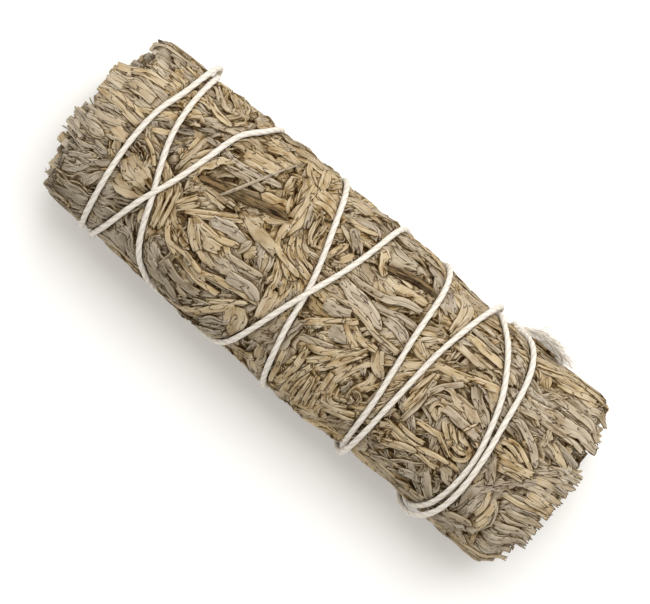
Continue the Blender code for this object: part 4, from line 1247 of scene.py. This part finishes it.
# %% Node helpers
def add_node(tree, kind, inputs=None, **settings):
    """Adds a shader node. An input is given a value, or another node's output."""
    node = tree.nodes.new("ShaderNode" + kind)
    for key, value in settings.items():
        setattr(node, key, value)
    for key, value in (inputs or {}).items():
        if isinstance(value, bpy.types.NodeSocket):
            tree.links.new(value, node.inputs[key])
        else:
            node.inputs[key].default_value = value
    return node


def add_math(tree, operation, *values, clamp=False):
    """A Math node's output."""
    inputs = dict(enumerate(values))
    return add_node(tree, "Math", inputs, operation=operation, use_clamp=clamp).outputs[0]


def new_group(name, inputs, output_names, output_kind):
    """A node group with these inputs and outputs, and its two nodes for them."""
    group = bpy.data.node_groups.new(name, "ShaderNodeTree")
    for label, kind, value in inputs:
        socket = group.interface.new_socket(label, in_out="INPUT", socket_type="NodeSocket" + kind)
        if value is not None:
            socket.default_value = value
    for label in output_names:
        group.interface.new_socket(label, in_out="OUTPUT", socket_type="NodeSocket" + output_kind)
    enter, leave = group.nodes.new("NodeGroupInput"), group.nodes.new("NodeGroupOutput")
    return group, enter.outputs, leave.inputs


def colour(red, green, blue):
    """A colour as a paint program shows it, turned into the linear values that shaders use."""
    linear = [((c / 255 + 0.055) / 1.055) ** 2.4 for c in (red, green, blue)]
    return (*linear, 1.0)


def mix_colours(tree, share, first, second):
    """A mix of two colours. A Mix node's colour sockets are its 7th and 8th."""
    inputs = {0: share, 6: first, 7: second}
    return add_node(tree, "Mix", inputs, data_type="RGBA").outputs[2]


def place_group(tree, group, inputs):
    """Places a node group, with values or outputs for its inputs, and returns its outputs."""
    return add_node(tree, "Group", inputs, node_tree=group).outputs


def squeezed_grain(tree, enter):
    """The grain, drawn out along the fibre."""
    split = add_node(tree, "SeparateXYZ", {"Vector": enter["Grain"]})
    shorter = add_math(tree, "MULTIPLY", split.outputs["X"], enter["Drawn out"])
    return add_node(tree, "CombineXYZ", {
        "X": shorter, "Y": split.outputs["Y"], "Z": split.outputs["Z"]}).outputs[0]


print("linear value of a mid grey:", round(colour(128, 128, 128)[0], 3))

# %% [markdown]
# ### Fibre
#
# Fibres are noise that is squeezed across and drawn out along the grain. Its fine detail keeps it
# from looking like a pattern. The softness says how sharply pale and dark streaks part.

# %% Fibre group
fibre_group, enter, leave = new_group("dry_fibre", (
    ("Grain", "Vector", None), ("Drawn out", "Float", 0.15), ("Fineness", "Float", 3.0),
    ("Softness", "Float", 0.2)), ("Streak", "Height"), "Float")
coarse = add_node(fibre_group, "TexNoise", {
    "Vector": squeezed_grain(fibre_group, enter), "Scale": enter["Fineness"], "Detail": 3.0,
    "Roughness": 0.65}).outputs["Fac"]
streak = add_node(fibre_group, "MapRange", {
    "Value": coarse, "From Min": add_math(fibre_group, "SUBTRACT", 0.5, enter["Softness"]),
    "From Max": add_math(fibre_group, "ADD", 0.5, enter["Softness"])})
fibre_group.links.new(streak.outputs[0], leave["Streak"])
fibre_group.links.new(coarse, leave["Height"])
print("fibre group nodes:", len(fibre_group.nodes))

# %% [markdown]
# ### Creases
#
# A dry leaf is crossed by fine creases, mostly lengthwise, and the shade in them is painted as
# dark lines. A line drawn wherever a smooth noise passes through its middle value gives such
# creases: thin, curved, never quite parallel, and now and then meeting.

# %% Crease group
crease_group, enter, leave = new_group("fine_creases", (
    ("Grain", "Vector", None), ("Drawn out", "Float", 0.15), ("Fineness", "Float", 1.0),
    ("Width", "Float", 0.03)), ("Line",), "Float")
hills = add_node(crease_group, "TexNoise", {
    "Vector": squeezed_grain(crease_group, enter), "Scale": enter["Fineness"], "Detail": 1.5})
level = add_math(crease_group, "SUBTRACT", hills.outputs["Fac"], 0.5)
line = add_node(crease_group, "MapRange", {
    "Value": add_math(crease_group, "ABSOLUTE", level), "From Min": 0.0,
    "From Max": enter["Width"], "To Min": 1.0, "To Max": 0.0}, interpolation_type="SMOOTHSTEP")
crease_group.links.new(line.outputs[0], leave["Line"])
print("crease group nodes:", len(crease_group.nodes))

# %% [markdown]
# ### Shade in hollows
#
# Where leaves lie over each other, little light comes in, and light that bounces from leaf to leaf
# takes on more of their brown each time. This group paints that shade: a power of the colour does
# the same, and the deepest places go to nearly black. The cover mark says how deep a point lies
# under its neighbours and so how much painted shade it gets. The lamps make most of the shadow,
# and this adds painted brown shade.

# %% Hollow group
hollow_group, enter, leave = new_group("hollow_shade", (
    ("Colour", "Color", (0.5, 0.5, 0.5, 1)), ("Deep colour", "Color", (0.1, 0.06, 0.03, 1)),
    ("Cover", "Float", 0.0), ("Strength", "Float", 1.0)), ("Colour",), "Color")
strong = add_math(hollow_group, "MULTIPLY", enter["Cover"], enter["Strength"], clamp=True)
bounces = add_math(hollow_group, "MULTIPLY_ADD", strong, 1.5, 1.0)
deepened = add_node(hollow_group, "Gamma", {"Color": enter["Colour"], "Gamma": bounces})
shaded = mix_colours(hollow_group, add_math(hollow_group, "POWER", strong, 3.0),
                     deepened.outputs[0], enter["Deep colour"])
hollow_group.links.new(shaded, leave["Colour"])
print("hollow group nodes:", len(hollow_group.nodes))

# %% [markdown]
# ### Powder
#
# Sage leaves are felted with tiny pale hairs, which dry to a powder. It is patchy: rubbed off in
# one place and thick in another. Soft noise in the object's own coordinates decides where.

# %% Powder group
powder_group, enter, leave = new_group("pale_powder", (
    ("Colour", "Color", (0.5, 0.5, 0.5, 1)), ("Powder colour", "Color", (0.7, 0.68, 0.62, 1)),
    ("Patch size", "Float", 350.0), ("Amount", "Float", 0.3)), ("Colour",), "Color")
where = add_node(powder_group, "TexCoord")
patches = add_node(powder_group, "TexNoise", {
    "Vector": where.outputs["Object"], "Scale": enter["Patch size"], "Detail": 4.0,
    "Roughness": 0.7})
spotty = add_node(powder_group, "MapRange", {
    "Value": patches.outputs["Fac"], "From Min": 0.42, "From Max": 0.66})
thin = add_math(powder_group, "MULTIPLY", spotty.outputs[0], enter["Amount"])
powdered = mix_colours(powder_group, thin, enter["Colour"], enter["Powder colour"])
powder_group.links.new(powdered, leave["Colour"])
print("powder group nodes:", len(powder_group.nodes))

# %% [markdown]
# ### A bare material
#
# Leaf, cotton and wood start alike: a matt surface, and the marks and the grain of the mesh. Each
# ends with a colour that is shaded in its hollows, and with bumps.

# %% Material helpers
def new_material(name, roughness, shine):
    """A matt material, with its tree, its marks and its grain."""
    material = bpy.data.materials.new(name)
    material.use_nodes = True
    tree = material.node_tree
    skin = tree.nodes["Principled BSDF"]
    skin.inputs["Roughness"].default_value = roughness
    skin.inputs["Specular IOR Level"].default_value = shine
    marks = add_node(tree, "Attribute", attribute_name="marks").outputs
    grain = add_node(tree, "Attribute", attribute_name="grain").outputs["Vector"]
    return material, tree, marks, grain


def end_material(tree, marks, shown, deep_colour, strength, height, bump, distance):
    """Ends a material: this colour, shaded in hollows, and this height as bumps."""
    skin = tree.nodes["Principled BSDF"]
    hollow = place_group(tree, hollow_group, {
        "Colour": shown, "Deep colour": deep_colour, "Cover": marks["Alpha"],
        "Strength": strength})
    tree.links.new(hollow["Colour"], skin.inputs["Base Color"])
    relief = add_node(tree, "Bump", {"Height": height, "Strength": bump, "Distance": distance})
    tree.links.new(relief.outputs[0], skin.inputs["Normal"])


print("shared groups:", [g.name for g in (fibre_group, crease_group, hollow_group, powder_group)])

# %% [markdown]
# ## Dry leaf
#
# The leaves have two families of colour, warm khaki and a cooler grey, and each leaf is somewhere
# between. Its exposed edge is painted a little paler, a painted highlight where the edge catches
# the light, and what lies under other leaves is painted brown, as painted shade. Fine dark crease
# lines are painted shade too. The face is quite matt. The fibres and the crinkled skin are only
# bumps, as they are far thinner than the leaf.

# %% Leaf material
leaf_material, tree, marks, grain = new_material("dry_sage_leaf", 0.9, 0.02)
tone, shade, edge = add_node(tree, "SeparateColor", {"Color": marks["Color"]}).outputs
fibre = place_group(tree, fibre_group, {"Grain": grain, "Drawn out": 0.2, "Fineness": 2.4})
crease = place_group(tree, crease_group, {
    "Grain": grain, "Drawn out": 0.2, "Fineness": 1.1, "Width": 0.021})["Line"]
own = mix_colours(tree, tone, colour(180, 161, 127), colour(153, 143, 128))
darker = mix_colours(tree, 0.4, own, colour(116, 92, 64))
streaked = mix_colours(tree, fibre["Streak"], darker, own)
dimmed = add_node(tree, "MapRange", {
    "Value": shade, "From Min": 0.0, "From Max": 1.0, "To Min": 0.64, "To Max": 1.42})
bright = add_node(tree, "VectorMath", {0: streaked, "Scale": dimmed.outputs[0]}, operation="SCALE")
powder = place_group(tree, powder_group, {
    "Colour": bright.outputs[0], "Powder colour": colour(196, 187, 170), "Amount": 0.35})
# Painted highlight: a paler rim along each leaf's edge
painted_edge_highlight = add_math(tree, "MULTIPLY", edge, 0.4, clamp=True)
edge_highlighted = mix_colours(tree, painted_edge_highlight, powder["Colour"], colour(203, 192, 169))
# Painted shade: dark lines in the fine creases
crease_shaded = mix_colours(tree, crease, edge_highlighted, colour(66, 43, 19))
lined = mix_colours(tree, 0.85, edge_highlighted, crease_shaded)
crinkle = add_node(tree, "TexNoise", {
    "Vector": grain, "Scale": 2.2, "Detail": 5.0, "Roughness": 0.6})
skin_height = add_math(tree, "ADD", fibre["Height"], crinkle.outputs["Fac"])
grooved = add_math(tree, "SUBTRACT", skin_height, crease)
# The near-black brown is the colour of the painted shade under and between leaves
end_material(tree, marks, lined, colour(42, 25, 6), 1.0, grooved, 1.0, 0.00016)
for number, sprig in enumerate(sprigs):
    sprig.finish(leaf_material, "leaf", f"leafy_stem_{number + 1}_leaves")

# %% [markdown]
# ## Cotton string
#
# The string is three strands twisted together. Seen close, each strand bulges between two
# grooves that wind round the string. So the tube's section is a three-lobed ring that turns as it
# goes along. Loose fibres stand out all along it, and catch the light as fuzz.

# %% String
LAY = 6.5  # mm along the string for one full twist
STRANDS = 3
cord_piece = Piece("cotton_string")


def twisted(line, radius, sides, up):
    """A tube of three strands that wind round each other, with its marks and grain."""
    along = length_along(line)[:, None]
    wound_by = np.linspace(0, 2 * math.pi, sides, endpoint=False) - 2 * math.pi * along / LAY
    lobe = np.abs(np.sin(STRANDS / 2 * wound_by))
    uneven = 1 + 0.03 * np.sin(along * 2.1) + 0.03 * np.sin(along * 0.77 + 1)
    points, turn = tube(line, radius * uneven * (0.91 + 0.09 * lobe**0.7), sides, up)
    grain = tube_grain(line, turn, 2.0, 0)
    grain[..., 1], grain[..., 2] = 2 * np.cos(wound_by), 2 * np.sin(wound_by)
    # The last mark is painted shade in the grooves between the strands
    marks = np.stack((0 * lobe + 0.5, 0 * lobe + 0.5, 0 * lobe, (1 - lobe) ** 2), -1)
    return points, marks, grain


SECTION = 0.32  # mm from one ring of the string to the next
far = length_along(string_line)
stations = np.linspace(0, far[-1], int(far[-1] / SECTION))
wound = np.stack([np.interp(stations, far, axis) for axis in string_line.T], -1)
smooth = np.exp(-0.5 * (np.arange(-6, 7) / 2.5) ** 2)
wound = np.stack([np.convolve(np.pad(axis, 6, "edge"), smooth / smooth.sum(), "valid")
                  for axis in wound.T], -1)
cord_piece.add_sheet(*twisted(wound, STRING_RADIUS * 0.76, 12, (1, 0, 0)), closed=True)
print("string sections:", len(wound))

# %% [markdown]
# ## Knot and frayed ends
#
# The string is tied in a small overhand knot at the side, near the cut ends, and its two ends
# fray into loose fibres. An overhand knot has the shape of a trefoil, for which there is a plain
# formula.

# %% Knot
KNOT_AT, KNOT_LIFT = (27.0, 106), 0.9
TAILS = (
    ((27.0, 104, 0.9), (29.6, 97, 1.9), (32.2, 93, 1.9), (34.6, 91, 1.5)),
    ((27.0, 102, 1.0), (29.4, 99, 1.0), (32.2, 96, 0.7), (34.4, 93, 0.6)),
)


def on_surface(x, degrees, lift):
    """Points at places along and round the bundle, this far above its surface."""
    angle = np.radians(np.asarray(degrees, float))
    x = np.asarray(x, float)
    return place(x, angle, rim(x, angle) + lift)


knot_middle = on_surface(*KNOT_AT, KNOT_LIFT)
out = np.array((0, math.sin(math.radians(KNOT_AT[1])), math.cos(math.radians(KNOT_AT[1]))))
beside = np.cross(out, (1, 0, 0))
t = np.linspace(0, 2 * math.pi, 90)
trefoil = np.stack((np.sin(t) + 2 * np.sin(2 * t), np.cos(t) - 2 * np.cos(2 * t),
                    -np.sin(3 * t)), -1) * (0.4, 0.34, 0.42)
knot_line = knot_middle + trefoil @ np.array(((1, 0, 0), beside, out))
cord_piece.add_sheet(*twisted(knot_line, 0.42, 10, out), closed=True)
for places in TAILS:
    line = on_surface(*curve_through(places, 12).T)
    taper = STRING_RADIUS * np.interp(np.linspace(0, 1, len(line)), (0, 0.4, 1), (0.75, 0.6, 0.2))
    cord_piece.add_sheet(*twisted(line, taper[:, None], 12, out), closed=True)
print("knot at", knot_middle.round(1))

# %% [markdown]
# ## Loose cotton fibres
#
# A fibre is a strip, much thinner than the string, that leaves it, bows and ends in the air. A
# few hundred short ones make the string look soft. At the frayed ends longer ones fan out.

# %% Fuzz
def add_fibre(start, ahead, outward, length, thick, rise, painted_shade):
    """One thin strip that leaves the string along it and bows outward."""
    share = np.linspace(0, 1, 6)[:, None]
    line = start + ahead * length * share + outward * rise * share**1.5
    line += chance.normal(0, 0.06, 3) * length * np.sin(share * chance.uniform(3, 7))
    across = np.cross(ahead, outward) * thick / 2
    points = np.stack((line - across, line + across), 1)
    points[..., 2] = np.maximum(points[..., 2], 0.02)
    # The last mark is painted shade: some on the short fuzz, none on the frayed ends
    cord_piece.add_sheet(points, (0.5, 0.6, 0, painted_shade), (0, 0, chance.uniform(0, 9)))


def square_to(side, other):
    """A random way that is square to the string, from two such ways."""
    turn = chance.uniform(0, 2 * math.pi)
    return side * math.cos(turn) + other * math.sin(turn)


FUZZ, FRAY = 900, 330  # fibres along the string, and at each of its ends
ahead, side, other = frame_along(wound, (1, 0, 0))
for _ in range(FUZZ):
    k = chance.integers(10, len(wound) - 10)
    outward = square_to(side[k], other[k])
    way = ahead[k] * chance.choice((-1, 1)) + chance.normal(0, 0.3, 3)
    add_fibre(wound[k] + outward * STRING_RADIUS * 0.75, way, outward,
              chance.uniform(0.5, 1.7), 0.035, chance.uniform(0.05, 0.5), 0.3)
for places in TAILS:
    line = on_surface(*curve_through(places, 12).T)
    ahead, side, other = frame_along(line, out)
    for _ in range(FRAY):
        k = int(chance.triangular(4, len(line) * 0.6, len(line) - 1))
        outward = square_to(side[k], other[k])
        add_fibre(line[k] + outward * 0.2, ahead[k] + chance.normal(0, 0.13, 3), outward,
                  chance.uniform(1.5, 4.2), 0.09, chance.uniform(0.05, 0.5), 0.0)

print("loose fibres:", FUZZ + FRAY * len(TAILS))

# %% [markdown]
# ## Raw cotton
#
# Cotton is nearly white. The grooves between the strands are painted a little darker, as painted
# shade.

# %% Cotton material
cotton, tree, marks, grain = new_material("raw_cotton", 0.95, 0.15)
fibre = place_group(tree, fibre_group, {"Grain": grain, "Drawn out": 0.35, "Fineness": 5.0})
spun = mix_colours(tree, fibre["Streak"], colour(206, 199, 187), colour(239, 234, 226))
end_material(tree, marks, spun, colour(164, 151, 133), 0.6, fibre["Height"], 0.8, 0.00015)
cord_piece.finish(cotton, "string", "string")

# %% [markdown]
# ## Woody stems and bare twigs
#
# Each leafy stem has a woody one inside, and its cut end shows among the leaf ends: a ring of dark
# bark round pale wood with a pith. Two twigs lost their leaves and lie bare on top. Both have
# bark that is ridged lengthwise, with knobs where leaves sat.

# %% Wood material
wood, tree, marks, grain = new_material("sage_wood", 0.9, 0.1)
cut_face = add_node(tree, "SeparateColor", {"Color": marks["Color"]}).outputs[2]
fibre = place_group(tree, fibre_group, {
    "Grain": grain, "Drawn out": 0.16, "Fineness": 1.7, "Softness": 0.09})
bark = mix_colours(tree, fibre["Streak"], colour(34, 22, 11), colour(122, 99, 68))
powder = place_group(tree, powder_group, {
    "Colour": bark, "Powder colour": colour(158, 141, 108), "Amount": 0.2})
cut = mix_colours(tree, cut_face, powder["Colour"], colour(196, 172, 130))
end_material(tree, marks, cut, colour(40, 27, 17), 1.0, fibre["Height"], 1.0, 0.0005)
print("wood material nodes:", len(tree.nodes))

# %% [markdown]
# ### A branch
#
# A branch is a tube whose radius goes up and down round it, for the ridges, and in a few spots
# along it, for the knobs. Three smaller rings at each end close it with a flat face.

# %% Branches
BRANCH_SIDES = 20
FACE_RINGS = (0.82, 0.45, 0.02)  # their sizes, as shares of the last ring of the bark


def with_faces(rows, rings):
    """Rows of a branch with those of its cut faces before the first and after the last."""
    first = np.array([rings(rows[0], part) for part in FACE_RINGS[::-1]])
    last = np.array([rings(rows[-1], part) for part in FACE_RINGS])
    return np.vstack((first, rows, last))


def add_branch(name, line, radius, slot, node, mark):
    """A piece of bare branch with ridged bark, knobs and cut ends that show the pale wood."""
    piece = Piece(name)
    turn = np.linspace(0, 2 * math.pi, BRANCH_SIDES, endpoint=False)
    share = np.linspace(0, 1, len(line))[:, None]
    ridges = 0.1 * np.sin(4 * turn + mark + share * 5) + 0.07 * np.sin(7 * turn - share * 19)
    ridges = ridges + 0.07 * np.sin(share * 41 + 3 * np.cos(turn))
    knobs = sum(0.16 * np.exp(-((share - at) / 0.03) ** 2) * np.clip(np.cos(turn - way), 0, 1)
                for at, way in zip(np.arange(0.08, 1, 0.17), np.arange(mark, mark + 20, 2.4)))
    points, turn = tube(line, radius * (1 + ridges + knobs), BRANCH_SIDES)
    points = with_faces(points, lambda ring, part: ring.mean(0) + (ring - ring.mean(0)) * part)
    grain = with_faces(tube_grain(line, turn, 1.5, mark), lambda ring, part: ring)
    marks = np.zeros((*points.shape[:2], 4))
    marks[..., :2] = 0.5
    marks[:3, :, 2] = marks[-3:, :, 2] = 1
    marks[0, :, 3] = marks[-1, :, 3] = 0.6
    piece.add_sheet(points, marks, grain, closed=True)
    piece.finish(wood, slot, node)


STEM_RADIUS, STEM_DEPTH, STEM_TIP = 1.15, 0.56, -34.0
for number in range(STEM_COUNT):
    node = f"leafy_stem_{number + 1}_wood"
    cut_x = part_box(node)[1][0] / MM - AXIS_SHIFT[0] - 1.2  # a little behind the leaf ends
    straight = HALF_LENGTH - 3
    x = np.append(np.linspace(STEM_TIP, straight, 80), np.linspace(straight + 0.4, cut_x, 10))
    at = np.minimum(x, straight)
    angle = (seam(number, at) + seam(number + 1, at)) / 2
    line = place(x, angle, rim(at, angle) * STEM_DEPTH)
    thick = STEM_RADIUS * np.interp(x, (STEM_TIP, straight), (0.55, 1.0))[:, None] * 0.92
    add_branch(f"woody_stem_{number + 1}", line, thick, "stem", node, number * 1.7)
for mark, (name, (radius, places)) in enumerate(TWIGS.items()):
    line = on_surface(*curve_through(places, 14).T)
    taper = radius * np.interp(np.linspace(0, 1, len(line)), (0, 0.1, 0.9, 1), (0.8, 1, 0.9, 0.6))
    add_branch("bare_" + name, line, taper[:, None], "twig", name, 30.5 + mark)

# %% [markdown]
# ## Floor and light
#
# The bundle is shown on plain white, with a soft shadow. A large lamp high up on one side gives
# the leaves their modelling, and a bright even sky fills the shadows, as in a light tent.

# %% Floor and light
paper = bpy.data.materials.new("white_paper")
paper.use_nodes = True
paper_skin = paper.node_tree.nodes["Principled BSDF"]
paper_skin.inputs["Base Color"].default_value = (0.93, 0.93, 0.92, 1)
paper_skin.inputs["Roughness"].default_value = 0.9
paper_skin.inputs["Specular IOR Level"].default_value = 0.1
floor_mesh = bpy.data.meshes.new("floor")
floor_mesh.from_pydata([(x * 3, y * 3, -0.0001) for x, y in ((-1, -1), (1, -1), (1, 1), (-1, 1))],
                       [], [(0, 1, 2, 3)])
floor_mesh.materials.append(paper)
floor = bpy.data.objects.new("floor", floor_mesh)
bpy.context.scene.collection.objects.link(floor)
floor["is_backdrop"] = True

world = bpy.data.worlds.new("light_tent")
world.use_nodes = True
world.node_tree.nodes["Background"].inputs["Color"].default_value = (1, 0.98, 0.95, 1)
world.node_tree.nodes["Background"].inputs["Strength"].default_value = 0.86
bpy.context.scene.world = world

KEY_SPOT = Vector((-0.02, 0.4, 0.65))
light = bpy.data.lights.new("key", "AREA")
light.size, light.energy, light.color = 0.7, 6.0, (1.0, 0.99, 0.98)
lamp = bpy.data.objects.new("key", light)
lamp.location = KEY_SPOT
lamp.rotation_euler = (-KEY_SPOT).to_track_quat("-Z", "Y").to_euler()
bpy.context.scene.collection.objects.link(lamp)
bpy.context.scene.view_settings.view_transform = "Standard"

# %% [markdown]
# ## The size
#
# Both boxes, of the frame and of the dressed model, are printed. The dressed model must not be
# bigger than the frame.

# %% Size and finish
dressed_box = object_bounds()
for label, box in (("frame", solid_box), ("dressed", dressed_box)):
    print(label, "in mm:", [[round(v / MM, 2) for v in corner] for corner in box])
